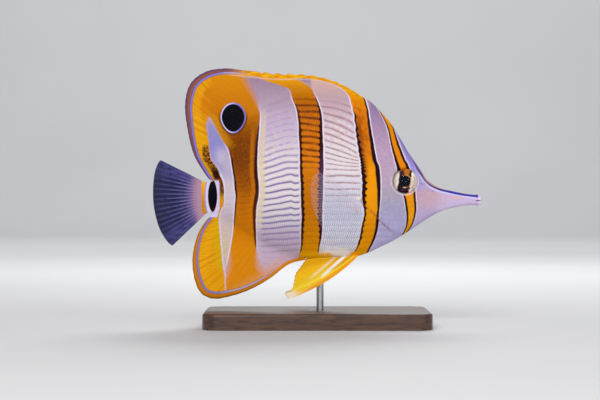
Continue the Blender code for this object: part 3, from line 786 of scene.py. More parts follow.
def paintGround(p):
    x, z = p.x, p.z
    # Ground colours by height: the skin's own lavender, cream and mauve tones. Their darkening towards the
    # top edge, and on the flank towards the belly edge too, is partly painted shade.
    flank = p.heights({60: (158, 130, 152), 50: (174, 150, 172), 42: (190, 168, 198), 34: (202, 182, 206),
                       24: (214, 199, 212), 10: (226, 213, 218), -2: (224, 211, 217), -11: (208, 194, 210),
                       -18: (198, 178, 202), -28: (202, 176, 200), -36: (206, 170, 180)})
    middle = p.heights({58: (206, 168, 162), 50: (192, 160, 172), 42: (202, 176, 190), 34: (212, 188, 198),
                        24: (226, 211, 218), 14: (228, 217, 224), 4: (214, 210, 226), -6: (208, 208, 224),
                        -16: (208, 206, 220), -23: (214, 207, 216), -28: (226, 208, 184)})
    cheek = p.heights({46: (152, 126, 166), 38: (168, 138, 174), 26: (188, 154, 184), 12: (190, 164, 188),
                       3: (176, 164, 184), -5: (170, 164, 198), -15: (180, 172, 214), -21: (190, 182, 224)})
    face = p.heights({24: (136, 126, 200), 13: (168, 154, 212), 8: (190, 164, 202), 3: (196, 160, 182),
                      -2: (196, 166, 190), -6: (190, 172, 210), -14: (196, 184, 226)})
    p.colour = p.mix(x.over(-3, 1), flank, middle)
    p.colour = p.mix(x.over(26, 1), p.colour, cheek)
    p.colour = p.mix(x.over(46.5, 1.5), p.colour, face)
    snout = p.heights({6: (196, 150, 172), 3: (206, 176, 206), 0: (204, 184, 220), -2: (206, 186, 222),
                       -5: (222, 208, 240)})
    p.colour = p.mix(x.over(61, 5), p.colour, snout)
    cloud = p.noise(0.35, 3, (1, 1, 1.6)).step(0.42, 0.7)
    p.lay((206, 166, 166), cloud, x.within(48, 64, 2), z.within(-4, 6, 3), 0.5)
    blush = p.noise(0.22, 3, (1, 1, 0.7)).step(0.46, 0.66)
    p.lay((214, 188, 178), blush, x.within(-30, 22, 2), z.within(10, 46, 8), 0.4)
    p.lay((232, 222, 236), p.noise(0.8, 3).step(0.45, 0.8), z.over(34, 8).blend(0.2, 0.06))
    freckle = p.noise(2.2).step(0.54, 0.7)
    p.lay((136, 118, 150), freckle, x.within(29, 50, 2), 0.4)
    p.lay((230, 178, 148), x.within(67, 73, 2), z.within(0.5, 1.8, 0.7), 0.7)


def paintRows(p, m):
    z = p.z
    rear = (-m["rearBandFront"]).over(2.8, 1) * (-m["midBandRear"]).over(0.8, 0.4)
    front = (-m["midBandFront"]).over(1, 0.4) * (-m["frontBandRear"]).over(1, 0.4)
    both = rear + front
    worn = p.noise(0.5).step(0.3, 0.6)
    # Ladder ticks in these coats are partly painted shadow behind each scale's rear edge.
    p.lay((168, 152, 184), m["ladder"], both, worn, p.byHeight({46: 0, 34: 0.16, 4: 0.14, -5: 0.4, -20: 0.4,
                                                                -27: 0.1}))
    p.lay((238, 230, 234), m["wave"].step(0.26, 0.08), rear, z.within(-12, 26, 6), 0.5)
    shade = p.byHeight({52: 0.1, 44: 0.35, 30: 0.55, 22: 0.85, 8: 0.95, -12: 0.9, -19: 0.5, -27: 0.1})
    violet = p.heights({46: (156, 130, 162), 30: (158, 138, 188), 20: (140, 120, 178), 4: (114, 98, 156),
                        -12: (126, 112, 164)})
    p.lay(violet, m["line"], rear, shade, z.under(24, 6).most(worn))
    dots = m["ladder"] * m["wave"].over(0.24, 0.1)
    p.lay((140, 126, 166), dots, rear, z.within(-26, -6, 4), 0.7)
    # Painted highlight: a pale stripe along the middle of each scale row.
    p.lay((240, 230, 236), m["wave"].step(0.3, 0.1), front, z.within(12, 40, 6), worn, 0.6)
    p.lay((156, 112, 120), m["line"], front, z.within(1, 48, 4), 0.3 + worn * 0.4)
    p.lay((122, 80, 92), m["line"] * m["ladder"], front, z.within(0, 48, 4), 0.45)
    p.lay((234, 232, 244), front, z.within(-25, -10, 2), m["ladder"].step(0.5, 0), 0.6)
    p.lay((138, 144, 180), m["ladder"], front, z.within(-25, 2, 3), p.byHeight({2: 0.35, -10: 0.75}))
    p.lay((150, 152, 184), m["line"], front, z.within(-25, -4, 3), 0.2)
    strip = m["rearBandFront"].within(-3.4, -1, 0.6)
    p.lay((226, 203, 168), strip, z.within(-12, 42, 6), 0.6)
    p.lay((236, 216, 138), strip, z.within(-14, 20, 3), m["wave"].step(0.36, 0.2), worn, 0.55)


def whiteLine(p, edge, width, strength):  # just outside a band's edge
    p.lay((233, 225, 245), edge.within(-0.1 - width, -0.1, 0.17), strength)


def darkLine(p, edge, width, colour):  # just inside a band's edge
    p.lay(colour, edge.over(0, 0.18), (edge - width).under(0, 0.35), width.over(0.3, 0.2))


def paintRearBand(p, m):
    z = p.z
    front, rear = m["rearBandFront"], m["rearBandRear"]
    fill = p.heights({62: (214, 138, 4), 52: (206, 124, 2), 44: (198, 116, 2), 38: (172, 96, 2),
                      30: (136, 68, 2), 20: (128, 62, 2), 9: (160, 84, 2), 0: (196, 108, 4),
                      -12: (206, 120, 2), -24: (220, 136, 2), -40: (228, 142, 10)})
    soft = p.byHeight({60: 3.4, 50: 2.6, 42: 0.35, -24: 0.3, -32: 3, -44: 3.8})
    whiteLine(p, front, 0.62, p.byHeight({50: 0, 41: 0.9, -4: 0.9, -20: 0.6, -27: 0}))
    inside = front.least(rear)
    under = p.colour
    p.colour = fill
    p.lay((208, 138, 2), rear.under(4.5, 2), z.within(27, 46, 3), 0.8)
    grain = p.noise(1.25, 3, (1, 1, 0.8)).step(0.44, 0.66)
    p.lay((90, 38, 2), grain, z.within(4, 35, 6), rear.over(2.2, 1.2), front.over(2.6, 1.2), 0.4)
    # The ladder in this net is partly painted shadow behind the scales' rear edges.
    net = (m["line"] * 0.7).most(m["ladder"])
    p.lay((84, 32, 2), net, p.noise(0.4).step(0.36, 0.6).blend(0.5, 1), z.within(-6, 36, 7),
          rear.over(2.2, 1.2), 0.5)
    p.lay((206, 116, 6), p.noise(0.9, 3).step(0.5, 0.7), z.under(34, 6), 0.25)
    p.lay((212, 120, 6), front.within(1.9, 3.8, 0.6), z.within(-18, 34, 5), 0.55)
    p.layIn(inside.step(-soft, soft), under)
    darkLine(p, front, p.byHeight({40: 0, 34: 0.7, 22: 1.4, 8: 1.7, -2: 1.9, -10: 1.5, -20: 0.9, -26: 0}),
             p.heights({10: (52, 12, 10), -6: (86, 32, 4)}))
    darkLine(p, rear, p.byHeight({25: 0, 20: 1, 5: 1.05, -6: 0.75, -13: 0.4, -16: 0}), (40, 10, 12))


def paintLobes(p, m):
    x, z = p.x, p.z
    fill = p.heights({66: (210, 130, 8), 56: (206, 120, 2), 48: (210, 124, 2), 38: (216, 142, 2),
                      28: (216, 150, 2), 16: (206, 140, 4), 2: (198, 120, 4), -10: (210, 142, 0),
                      -22: (226, 158, 2), -36: (232, 160, 4), -48: (230, 150, 20)})
    turned = (abs(z - 2) - 12).turnTo(-(x + 16))
    inputs = {"W": turned * 30, "Scale": 1, "Detail": 2}
    rays = p.out("ShaderNodeTexNoise", "Fac", inputs, noise_dimensions="1D")
    under = p.colour
    beside = -m["wedgeRear"]
    p.colour = fill
    p.lay((238, 170, 8), m["rim"].within(3, 8, 1.5), 0.6)
    p.lay((182, 102, 2), rays.step(0.5, 0.72), 0.4)
    p.lay((242, 180, 30), rays.step(0.46, 0.3), 0.3)
    blur = p.byHeight({42: 0.3, 48: 3.2})
    p.layIn(beside.step(-blur, blur), under)
    reach = beside - p.byHeight({30: 2.6, 22: 4, 14: 3.8, 9: 3.9})
    specks = reach.under(0, 0.7) * z.within(9.6, 27, 1.6) * beside.over(0.3, 0.3)
    blot = p.noise(1.5, 3, (1, 1, 0.7)).step(0.36, 0.6)
    p.lay((150, 76, 6), specks, z.over(17, 3), 0.55)
    p.lay((40, 12, 10), specks, blot.most(z.step(20, 14)))
    p.lay((110, 52, 8), specks, p.noise(1.3).step(0.54, 0.68), 0.5)
    p.lay((214, 172, 0), beside.within(0.2, 2.8, 0.8), z.within(-36, -10, 3), 0.7)


def paintWedge(p, m):
    z = p.z
    front, rear = m["wedgeFront"], m["wedgeRear"]
    inside = front.least(rear)
    top, bottom = markings["wedgeEnds"]
    inside = inside - (z - top).most(0)
    inside = inside - (bottom - z).most(0)
    fill = p.heights({41: (182, 148, 160), 36: (146, 140, 192), 26: (142, 136, 200), 15: (174, 166, 210),
                      8: (210, 196, 208), -2: (210, 194, 206), -7: (204, 186, 200), -14: (206, 186, 178),
                      -26: (210, 190, 160), -36: (206, 174, 190)})
    pale = p.mix(rear.over(3, 1.8) * z.within(12, 25, 4), fill, (190, 178, 206))
    soft = p.byHeight({41: 1.6, 32: 0.5, 20: 0.25, -26: 0.25, -36: 0.8})
    p.colour = p.mix(inside.step(-soft, soft), p.colour, pale)
    p.lay((232, 224, 246), front.within(0, 0.6, 0.2), z.within(-32, 27, 3), 0.8)
    p.lay((228, 222, 250), rear.within(0, 0.8, 0.25), p.byHeight({16: 0, 12: 0.95, 0: 0.5, -8: 0.35, -20: 0.6,
                                                                  -34: 0.5}))
    strip = rear.within(-3.1, -0.05, 0.2) * z.within(-4.6, 10, 0.8)
    mottle = p.noise(1.4, 3).step(0.38, 0.58)
    orange = p.heights({6: (172, 96, 8), 0: (216, 148, 6), -4: (224, 142, 16)})
    p.lay(orange, strip)
    p.lay((56, 20, 6), strip, mottle, z.over(2.6, 1.2))


def paintMiddleBands(p, m):
    x, z = p.x, p.z
    ripple = (m["wave"] - 0.25) * p.byHeight({54: 0, 46: 0.7, 8: 0.6, 0: 0.2})
    rear, front = m["midBandRear"], m["midBandFront"]
    whiteLine(p, rear, 0.55, p.byHeight({56: 0.1, 50: 0.8, 16: 0.85, 8: 0.5, -20: 0.35, -26: 0}))
    whiteLine(p, front, 0.62, p.byHeight({56: 0.2, 50: 0.85, 14: 0.95, 6: 0.6, -18: 0.5, -23: 0}))
    under = p.colour
    p.colour = p.heights({60: (226, 152, 4), 56: (204, 128, 2), 50: (188, 106, 2), 44: (190, 100, 2),
                          37: (206, 110, 4), 29: (216, 116, 6), 20: (222, 124, 8), 10: (204, 116, 2),
                          -5: (196, 114, 2), -20: (212, 134, 0), -26: (230, 152, 0), -32: (240, 170, 0)})
    p.lay((232, 140, 10), p.noise(0.6, 3).step(0.52, 0.7), z.within(6, 44, 6), 0.5)
    bars = m["bar"] * p.noise(0.3).step(0.35, 0.55).blend(0.55, 0.9)
    p.lay((104, 40, 2), bars, z.within(17, 50, 4))
    # Ladder ticks, partly painted shadow behind the scales' rear edges.
    p.lay((126, 56, 2), m["ladder"], z.within(22, 50, 5), 0.3)
    p.lay((146, 70, 2), p.noise(0.9, 3).step(0.5, 0.7), z.within(22, 52, 5), 0.35)
    p.lay((196, 108, 50), front.under(3.6, 1.2), z.within(7, 16, 3), 0.5)
    # Ladder ticks, partly painted shadow behind the scales' rear edges.
    p.lay((172, 92, 2), m["ladder"], z.under(14, 4), 0.25)
    soft = p.byHeight({60: 1.2, 54: 0.8, 50: 0.25, -22: 0.25, -28: 1})
    inside = rear.least(front)
    p.layIn(inside.step(-soft, soft), under)
    bulge = 0.9 + m["bar"] * 0.3
    width = p.byHeight({50: 0, 44: 1, 34: 1.4, 24: 1.2, 8: 1.5, -10: 1.45, -20: 1, -28: 0.3})
    darkLine(p, rear, bulge * width, p.heights({42: (86, 36, 6), 34: (52, 16, 6), 24: (44, 12, 8)}))
    width = p.byHeight({54: 0, 46: 0.9, 38: 1.4, 26: 2, 12: 2.3, -8: 2.2, -18: 1.1, -24: 0.5})
    darkLine(p, front, bulge * width, p.heights({26: (46, 10, 10), 14: (76, 38, 72), -6: (84, 44, 68),
                                                 -16: (50, 12, 10)}))
    rear, front = m["frontBandRear"] - ripple, m["frontBandFront"]
    whiteLine(p, rear, 0.62, p.byHeight({55: 0.4, 50: 0.85, 16: 0.95, 8: 0.3, -26: 0.2}))
    whiteLine(p, front, 0.55, p.byHeight({54: 0.7, 48: 1, 2: 0.85, -4: 0.35, -24: 0.2}))
    under = p.colour
    p.colour = p.heights({57: (244, 166, 6), 51: (234, 144, 4), 43: (220, 120, 4), 30: (216, 118, 4),
                          21: (228, 132, 2), 14: (244, 154, 2), 4: (242, 156, 2), -6: (236, 152, 2),
                          -15: (224, 140, 0), -26: (236, 154, 4)})
    slanted = m["bar"] * rear.under(4, 2)
    smudge = p.noise(0.5, 3, (1, 1, 0.6)).step(0.42, 0.66)
    p.lay((152, 72, 2), slanted.most(smudge), z.within(22, 48, 5), 0.5)
    p.lay((128, 52, 4), rear.step(4.2, 1.6), z.within(10, 40, 5), 0.75)
    p.layIn(rear.least(front).step(-0.25, 0.25), under)
    darkLine(p, rear, bulge * p.byHeight({47: 0, 42: 0.7, 34: 1, 25: 1.5, 12: 1.9, 5: 2.2, 0: 1.7, -6: 1,
                                          -20: 1.05, -25: 0.5}), (34, 7, 14))
    darkLine(p, front, p.byHeight({54: 0.5, 44: 0.9, 30: 1.6, 20: 2, 13: 2.3, 5: 1.7, 0: 1.5, -5: 0.9,
                                   -10: 1.5, -20: 1.2, -26: 0.7}), (26, 5, 24))
    cloud = (p.noise(0.25, 3) - 0.5) * 4
    low = z + cloud
    p.lay((244, 234, 226), x.within(3.5, 16, 2), low.under(-23.5, 1.2), 0.7)
    gold = (x + cloud).within(-9, 7.5, 2) * low.under(-26.4, 1.2)
    p.lay((246, 182, 2), gold, m["midBandRear"].over(-0.5, 0.8), 0.95)
    p.lay((242, 160, 4), x.within(16.5, 24.5, 1), z.under(-25.8, 0.8), 0.9)


def paintFace(p, m):
    x, z = p.x, p.z
    rear, front = m["eyeBandRear"], m["eyeBandFront"]
    ahead = -front
    line = m["snoutLine"]
    brow = z.over(13, 5)
    p.lay(p.heights({28: (120, 116, 204), 22: (146, 137, 212), 14: (152, 146, 220)}), brow,
          ahead.within(0.9, 5.5, 0.8), 0.85)
    p.lay((186, 178, 236), ahead.within(0.5, 1.3, 0.3), z.over(16, 4), 0.6)
    p.lay((168, 158, 224), ahead.within(0.5, 4, 0.8), z.within(5, 16, 3), 0.6)
    whiteLine(p, rear, 0.45, p.byHeight({44: 0.6, 36: 0.9, 16: 0.9, 2: 0.7, -14: 0.3}))
    whiteLine(p, front, 0.45, p.byHeight({44: 0.3, 36: 0.7, 16: 0.9, 2: 0.85, -13: 0.4}))
    under = p.colour
    p.colour = p.heights({44: (250, 172, 50), 37: (240, 146, 10), 25: (234, 136, 2), 12: (236, 134, 6),
                          2: (238, 150, 14), -14: (238, 164, 16)})
    p.lay((208, 120, 2), p.noise(0.7).step(0.5, 0.7), 0.35)
    p.layIn(rear.least(front).step(-0.2, 0.2), under)
    ink = (26, 6, 20)
    width = p.byHeight({46: 0.3, 36: 0.75, 28: 0.85, 20: 1.3, 14: 1.9, 3: 1, -4: 1.15, -13: 0.7})
    darkLine(p, rear, width, ink)
    width = p.byHeight({40: 0.2, 34: 0.7, 28: 1.15, 20: 1.3, 14: 1.7, 3: 1.05, -4: 1, -13: 0.7})
    darkLine(p, front, width, ink)
    p.lay((140, 80, 66), m["gill"].under(0.32, 0.22), z.within(-15, 0.5, 1.5), 0.8)
    p.lay((250, 226, 206), p.oval((20.4, 0.9), (1.3, 0.8)).under(0.8, 0.35), 0.9)
    p.lay((206, 198, 248), line.within(-1.5, -0.4, 0.25), x.over(50, 2.5), 0.85)
    p.lay((226, 218, 252), line.within(-1, -0.4, 0.2), x.within(57, 66, 2), 0.7)
    copper = p.mix(x.step(52, 56), (150, 104, 140), (196, 140, 142))
    p.lay(copper, line.over(0.3, 0.15), x.within(47, 64, 1.5), 0.85)
    p.lay((236, 176, 146), line.over(0.5, 0.2), x.within(53, 55.5, 0.8), 0.7)
    half = 0.1 + (x.step(46, 50.5) * 0.2 + x.step(54, 66) * 0.24)
    drawn = p.mix(x.step(47, 51), (104, 82, 168), (48, 30, 100))
    p.lay(p.mix(x.step(58, 66), drawn, (50, 42, 156)), (abs(line) - half).under(0, 0.18), x.step(44.5, 49.5),
          x.under(80.4, 0.3), 0.96)
    p.lay((66, 58, 170), line.over(0, 0.2), x.over(66, 1.5), x.under(80.4, 0.3), 0.95)
    p.lay((234, 216, 244), x.over(80.6, 0.4), 0.8)
    # Painted shade: a dark line along the mouth slit.
    crease = abs(z - mouth["z"])
    p.lay((112, 84, 132), crease.under(0.14, 0.1), x.step(78.4, 80), 0.75)
    # Painted shade: the nostril pits are darker than the skin around them.
    for pit in nostrils["places"]:
        p.lay((112, 84, 142), p.oval(pit, (0.36, 0.42)).under(0.9, 0.3), 0.7)
    p.lay((138, 126, 208), p.oval((57.8, 4.4), (1.1, 0.45)).under(0.8, 0.35), 0.6)
    away = p.oval(eye["place"], (1, 1))
    p.lay((218, 206, 212), away.within(6.3, 7.1, 0.3), z.under(13, 2), 0.7)
    # Painted shade: the socket skin around the lower edge of the eyeball is darker.
    p.lay((150, 126, 132), away.under(6.15, 0.12), z.under(13.5, 1), 0.8)


def paintMargins(p, m):
    x, z = p.x, p.z
    rim, line, shown = m["rim"], m["rimLine"], m["rimShown"]
    anal = z.under(0, 2)
    dorsal = 1 - anal
    width = x.step(-25, 12).blend(2.7, 1.5)
    edge = rim - width
    spread = dorsal * x.step(25, 22) * x.over(-44, 4)
    p.lay((226, 200, 190), edge.within(0.1, 0.7, 0.25), spread, x.under(12, 3), 0.5)
    streak = p.noise(0.9, 2, (0.35, 1, 1.6)).step(0.4, 0.65)
    p.lay(p.mix(streak, (218, 138, 2), (242, 178, 10)), edge.under(0, 0.3), spread)
    p.lay((232, 158, 96), rim.step(7.5, 1.5), anal, x.within(-40, -18, 7), 0.7)
    p.lay((224, 140, 10), rim.step(1.9, 1.3), anal, x.step(-2, -10))
    outside = line.under(0, 0.3) * shown
    brown = p.mix(rim.step(0.3, 1.3), (106, 68, 108), (128, 78, 76))
    brown = p.mix(rim.within(1.5, 2.8, 0.5) * 0.6, brown, (156, 96, 64))
    p.lay(p.mix(anal, brown, p.mix(rim.step(0.2, 1), (170, 100, 10), (204, 126, 18))), outside)
    p.lay(p.mix(anal, (92, 62, 110), (150, 90, 60)), line.within(-0.75, 0.75, 0.15), shown, 0.6)
    violet = p.mix(x.over(-46, 6), (126, 122, 212), (184, 174, 212))
    p.lay(violet, line.within(-0.4, 0.4, 0.14), shown)


def paintSpots(p, m):
    x, z = p.x, p.z
    dx = x + 41.9
    dz = z - 41
    slim = 1 + dz.least(0) * 0.02
    away = ((dx / (slim * 5.55)) ** 2 + (dz / 6.7) ** 2).sqrt()
    p.lay((88, 40, 2), away.step(1.42, 1.18), dz.under(2, 4).blend(0.05, 0.85))
    p.lay((150, 142, 226), away.under(1.145, 0.025))
    # Partly the eye spot ring's own pale rim, partly a painted highlight on its left side.
    p.lay((226, 218, 250), away.within(1.05, 1.12, 0.02), dx.under(-0.5, 2.5), 0.95)
    p.lay((82, 74, 180), away.within(1.04, 1.12, 0.02), dx.over(1.5, 2), 0.6)
    p.lay((3, 1, 12), away.under(1.03, 0.03))
    lensX = (x + 52.1) / 2.3
    lensZ = (z - 2) / 8
    lens = abs(lensX) ** 1.7 + lensZ ** 2
    near = z.within(-8.6, 9.7, 0.4) * x.under(-48.6, 0.5)
    root = x.under(-53, 0.3) * near
    p.lay(p.mix(z.over(3, 5), (206, 138, 20), (246, 178, 4)), lens.over(2.6, 0.25), root)
    p.lay((214, 208, 248), lens.within(1, 2.6, 0.25), near)
    p.lay((128, 96, 168), lens.within(2.1, 2.6, 0.2), root, 0.7)
    p.lay(p.mix(z.under(-3.6, 1), (3, 2, 12), (40, 12, 4)), lens.under(1, 0.08), near)


def fleshPaint(name):
    p = Paint(name)
    x, z = p.seen()
    m = {key: p.read(key) for key in ("rim", "rimLine", "rimShown", "row", "snoutLine", "gill")}
    wobble = (p.noise(0.3) - 0.5) * 0.5
    for band in ("rearBand", "midBand", "frontBand", "eyeBand", "wedge"):
        for side in ("Rear", "Front"):
            m[band + side] = p.read(band + side) + wobble
    across = m["row"].fract() - 0.5
    m["wave"] = abs(across)
    plate = scales["flank"]
    odd = m["row"].floor() % 2
    bow = m["wave"] * m["wave"] * (4 * plate["round"] * plate["length"])
    lean = markings["lean"]
    breast = x.step(*lean["runX"]) * z.step(*lean["runZ"]) * (lean["share"] * markings["rowHeight"])
    aside = across * breast - bow
    # The ladder is 1 just behind each scale's rear edge. The dark ticks laid with it are partly the scale
    # pattern's own gaps and partly painted shadow cast by each scale's edge.
    fromEdge = x + (0.5 * plate["length"] - markings["firstColumn"]) + aside - odd * (0.5 * plate["step"])
    column = (fromEdge / plate["step"]).fract()
    m["ladder"] = abs(column - 0.5).step(0.26, 0.48)
    beaded = m["wave"] + m["ladder"] * 0.04
    m["line"] = beaded.step(0.31, 0.46)
    m["bar"] = beaded.step(0.2, 0.44)
    paintGround(p)
    for coat in (paintRows, paintRearBand, paintLobes, paintWedge, paintMiddleBands, paintFace, paintMargins,
                 paintSpots):
        coat(p, m)
    relief = p.noise(1.6, 3) * 0.5 + m["line"] * -0.25
    rough = p.noise(2.6).blend(0.4, 0.55)
    return p.finish(bump=(relief, 0.35, 0.08), Roughness=rough, Specular_IOR_Level=0.06)


fleshFinish = fleshPaint("scaled_flesh")
for piece in [skinPiece] + scalePieces:
    piece.data.materials.append(fleshFinish)
    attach(piece, "root")
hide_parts("head", "trunk", "tail_stalk", "dorsal_fin_spiny", "dorsal_fin_soft", "anal_fin")
print("flesh painted")

# Thin fins: a grid laid on the fin's middle surface, both faces raised into rays that branch outwards

tail = {
    "margin": [(-79.6, 20.7), (-81.5, 13), (-82.2, 4), (-81.5, -5), (-78.8, -14.6), (-73.4, -23.9)],
    "rays": 17, "columns": 204, "rows": 44, "root": (-54.2, 8, -5.6), "half": 0.75, "rim": 0.12,
    "taper": 1.8, "ray": 0.14, "fray": 0.012, "corner": 0.05, "edge": 0.25,
}
pectoral = {
    "margin": [(-1.5, 15.6), (-3.6, 8), (-3, -1.5), (0.5, -11), (6.5, -18.5), (12.5, -21)],
    "rays": 14, "columns": 168, "rows": 40, "root": (20.3, -1.6, 2.9), "rise": 6.2, "sink": 1.2,
    "half": 0.5, "rim": 0.1, "taper": 3, "ray": 0.12, "fray": 0.02, "corner": 0.1, "tilt": 0.42,
    "ripple": 0.25,
}
pelvic = {
    "margin": [(-17.8, -50.6), (-14.2, -48.6), (-16, -46.6), (-12.9, -45.4), (-11.6, -41.3), (-10.9, -37.5),
               (-8.7, -34.3), (-6.6, -31.4), (-5.3, -29.2)],
    "rays": 7, "columns": 140, "rows": 48, "rootFront": (20.6, -27.4), "rootRear": (12.6, -28.2),
    "rootY": 2.7, "splay": 0.17, "bulge": 4.6, "bulgeTo": (-0.35, -0.94), "half": 0.55, "rim": 0.12,
    "taper": 1.5, "ray": 0.1, "fray": 0.012, "spine": 0.3, "ripple": 0.35,
}


def thinFin(name, shape, middle, half, normal):
    bm = bmesh.new()
    bmesh.ops.create_grid(bm, x_segments=shape["columns"], y_segments=shape["rows"], size=0.5)
    across = bm.verts.layers.float.new("across")
    outward = bm.verts.layers.float.new("outward")
    for vert in bm.verts:
        vert[across], vert[outward] = vert.co.x + 0.5, vert.co.y + 0.5
    made = bmesh.ops.extrude_face_region(bm, geom=bm.faces[:], use_keep_orig=True)["geom"]
    bm.verts.index_update()
    farSide = {v.index for v in picked(made)}
    piece = writeMesh(name, bm)
    mesh = piece.data
    sign = np.array([1 if k in farSide else -1 for k in range(len(mesh.vertices))])
    t, v = (fetched(mesh.attributes[key].data, "value").astype(float) for key in ("across", "outward"))
    setPlaces(mesh, middle(t, v) + (half(t, v) * sign)[:, None] * np.asarray(normal))
    bm = bmesh.new()
    bm.from_mesh(mesh)
    bmesh.ops.recalc_face_normals(bm, faces=bm.faces)
    bm.to_mesh(mesh)
    bm.free()
    mesh.shade_smooth()
    writePlaces(mesh)
    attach(piece, "root")
    return piece


def branchedRays(t, v, rays):  # each ray forks twice on its way out
    fine = 0
    for forks, start in ((1, -1), (2, 0.3), (4, 0.62)):
        ridge = rayRidges(t * rays * forks) ** 2.2
        share = 1 if start < 0 else smoothStep(start, start + 0.2, v)
        fine = fine * (1 - share) + ridge * share
    return fine


def reachOut(root, margin, t, share):  # places at a share of the way from the root to the margin
    return root + (alongLine(margin, t) - root) * share[:, None]


def upright(seen, y):
    return np.stack([seen[:, 0], y, seen[:, 1]], -1)


def halfAt(shape, t, v, fade):  # half the thickness, which thins out from the root to the rim
    rays = shape["ray"] * branchedRays(t, v, shape["rays"]) * (1 - fade * v)
    return shape["rim"] + (shape["half"] - shape["rim"]) * (1 - v) ** shape["taper"] + rays


def makeTailFin():
    margin = smoothLine(tail["margin"])
    rootX, high, low = tail["root"]

    def middle(t, v):
        root = np.stack([np.full(len(t), rootX), high + (low - high) * t], -1)
        frayed = 1 - tail["fray"] * (1 - branchedRays(t, v, tail["rays"]))
        frayed = frayed - tail["corner"] * np.abs(2 * t - 1) ** 10
        return upright(reachOut(root, margin, t, v * frayed), np.zeros(len(t)))

    def half(t, v):
        edge = tail["edge"] * (smoothStep(0.06, 0, t) + smoothStep(0.94, 1, t)) * (1 - v)
        rays = tail["ray"] * branchedRays(t, v, tail["rays"]) * (1 - 0.5 * v) * smoothStep(0.12, 0.3, v)
        return tail["rim"] + (tail["half"] - tail["rim"]) * (1 - v) ** tail["taper"] + edge + rays

    fin = thinFin("tail_membrane", tail, middle, half, (0, 1, 0))
    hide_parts("tail_fin")
    return fin


def flankHalf(x, z):  # how far out the flank stands
    return castAtSkin(x, z)[0].y / mm


def makePectoralFin(word, side):
    margin = smoothLine(pectoral["margin"])
    x, z, spread = pectoral["root"]
    flank = flankHalf(x, z)

    def middle(t, v):
        root = np.stack([np.full(len(t), x), z + spread * (1 - 2 * t)], -1)
        reach = v * (1 - pectoral["corner"] * np.abs(2 * t - 1) ** 8)
        reach = reach * (1 - pectoral["fray"] * (1 - branchedRays(t, v, pectoral["rays"])))
        rise = pectoral["rise"] * (1 - (1 - v) ** 2) - pectoral["sink"]
        ripple = pectoral["ripple"] * np.sin(9 * t + 1) * v
        return upright(reachOut(root, margin, t, reach), side * (flank + rise + ripple))

    def half(t, v):
        return halfAt(pectoral, t, v, 0.5)

    normal = Vector((pectoral["tilt"], side, 0)).normalized()
    fin = thinFin("pectoral_" + word, pectoral, middle, half, normal[:])
    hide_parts("pectoral_fin_" + word)
    return fin


def makePelvicFin(word, side):
    margin = smoothLine(pelvic["margin"])
    front, rear = np.array(pelvic["rootFront"]), np.array(pelvic["rootRear"])

    def middle(t, v):
        root = front + (rear - front) * t[:, None]
        frayed = 1 - pelvic["fray"] * (1 - rayRidges(t * pelvic["rays"] * 2)) * smoothStep(0.3, 0.4, t)
        seen = reachOut(root, margin, t, v * frayed)
        bow = pelvic["bulge"] * (1 - t) ** 1.5 * np.sin(math.pi * v ** 0.7)
        seen = seen + bow[:, None] * np.array(pelvic["bulgeTo"])
        run = np.linalg.norm(seen - front, axis=1)
        ripple = pelvic["ripple"] * np.sin(t * 14) * v * smoothStep(0.1, 0.4, t)
        return upright(seen, side * (pelvic["rootY"] + pelvic["splay"] * run + ripple))

    def half(t, v):
        return halfAt(pelvic, t, v, 0.4) + pelvic["spine"] * smoothStep(0.14, 0, t) * (1 - 0.8 * v)

    fin = thinFin("pelvic_" + word, pelvic, middle, half, (0, side, 0))
    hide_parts("pelvic_fin_" + word)
    return fin


def raysIn(p, rays):  # 1 on a ray, 0 between two
    return abs((p.read("across") * rays).fract() - 0.5) * 2


def tailPaint():
    p = Paint("tail_fin_blue")
    x, z = p.seen()
    v, t = p.read("outward"), p.read("across")
    lobe = abs(t - 0.5).step(0.24, 0.46)
    membrane = p.ramp(v, {0: (188, 146, 164), 0.13: (184, 144, 162), 0.25: (164, 126, 156),
                          0.33: (106, 86, 138), 0.43: (54, 50, 104), 0.6: (27, 30, 76), 0.82: (20, 26, 62),
                          1: (22, 26, 48)})
    blotch = p.noise(0.12).step(0.35, 0.75) * v.step(0.3, 0.45) * 0.4
    p.colour = p.mix(blotch, membrane, (14, 18, 52))
    p.lay((76, 72, 142), lobe, v.step(0.3, 0.5), p.noise(0.5, 3, (0.5, 1, 1)).step(0.3, 0.6), 0.75)
    pale = p.ramp(v, {0.15: (204, 172, 190), 0.36: (144, 130, 182), 0.55: (98, 96, 156), 0.8: (66, 70, 128),
                      1: (44, 48, 92)})
    streaky = 0.4 + p.noise(0.35).step(0.3, 0.6) * 0.5
    ray = raysIn(p, tail["rays"]).step(0.5, 0.1) * v.step(0.14, 0.36)
    p.lay(pale, ray, streaky, 1 - lobe * 0.5)
    p.lay((120, 112, 176), raysIn(p, tail["rays"] * 4).step(0.4, 0.1), v.step(0.6, 0.8), 0.2)
    dip = (-0.5 - z).most(0)
    barX = x - dip * dip * 0.06
    yellow = p.mix(z.over(5, 3), (232, 160, 10), (250, 206, 70))
    p.lay(yellow, barX.within(-57.5, -55.8, 0.3))
    solid = ray.most(v.step(0.4, 0.2)).most(0.92)
    return p.finish(bump=(p.noise(1.4, 3), 0.3, 0.08), Roughness=0.42, Specular_IOR_Level=0.1, Alpha=solid)


def pectoralPaint():
    p = Paint("pectoral_fin_clear")
    v = p.read("outward")
    forked = v.step(0.3, 0.5)
    single, double = raysIn(p, pectoral["rays"]), raysIn(p, pectoral["rays"] * 2)
    ray = (1 - forked) * single.step(0.45, 0.1) + forked * double.step(0.5, 0.15)
    base = p.ramp(v, {0: (232, 192, 184), 0.22: (220, 190, 208), 0.5: (196, 192, 222), 1: (206, 208, 232)})
    cover = (0.03 + ray * (0.24 - v * 0.19)).most(v.step(0.2, 0.02) * 0.55)
    colour = p.mix(ray * 0.6, base, (238, 232, 246))
    return p.finish(colour, Roughness=0.3, Specular_IOR_Level=0.3, Alpha=cover)


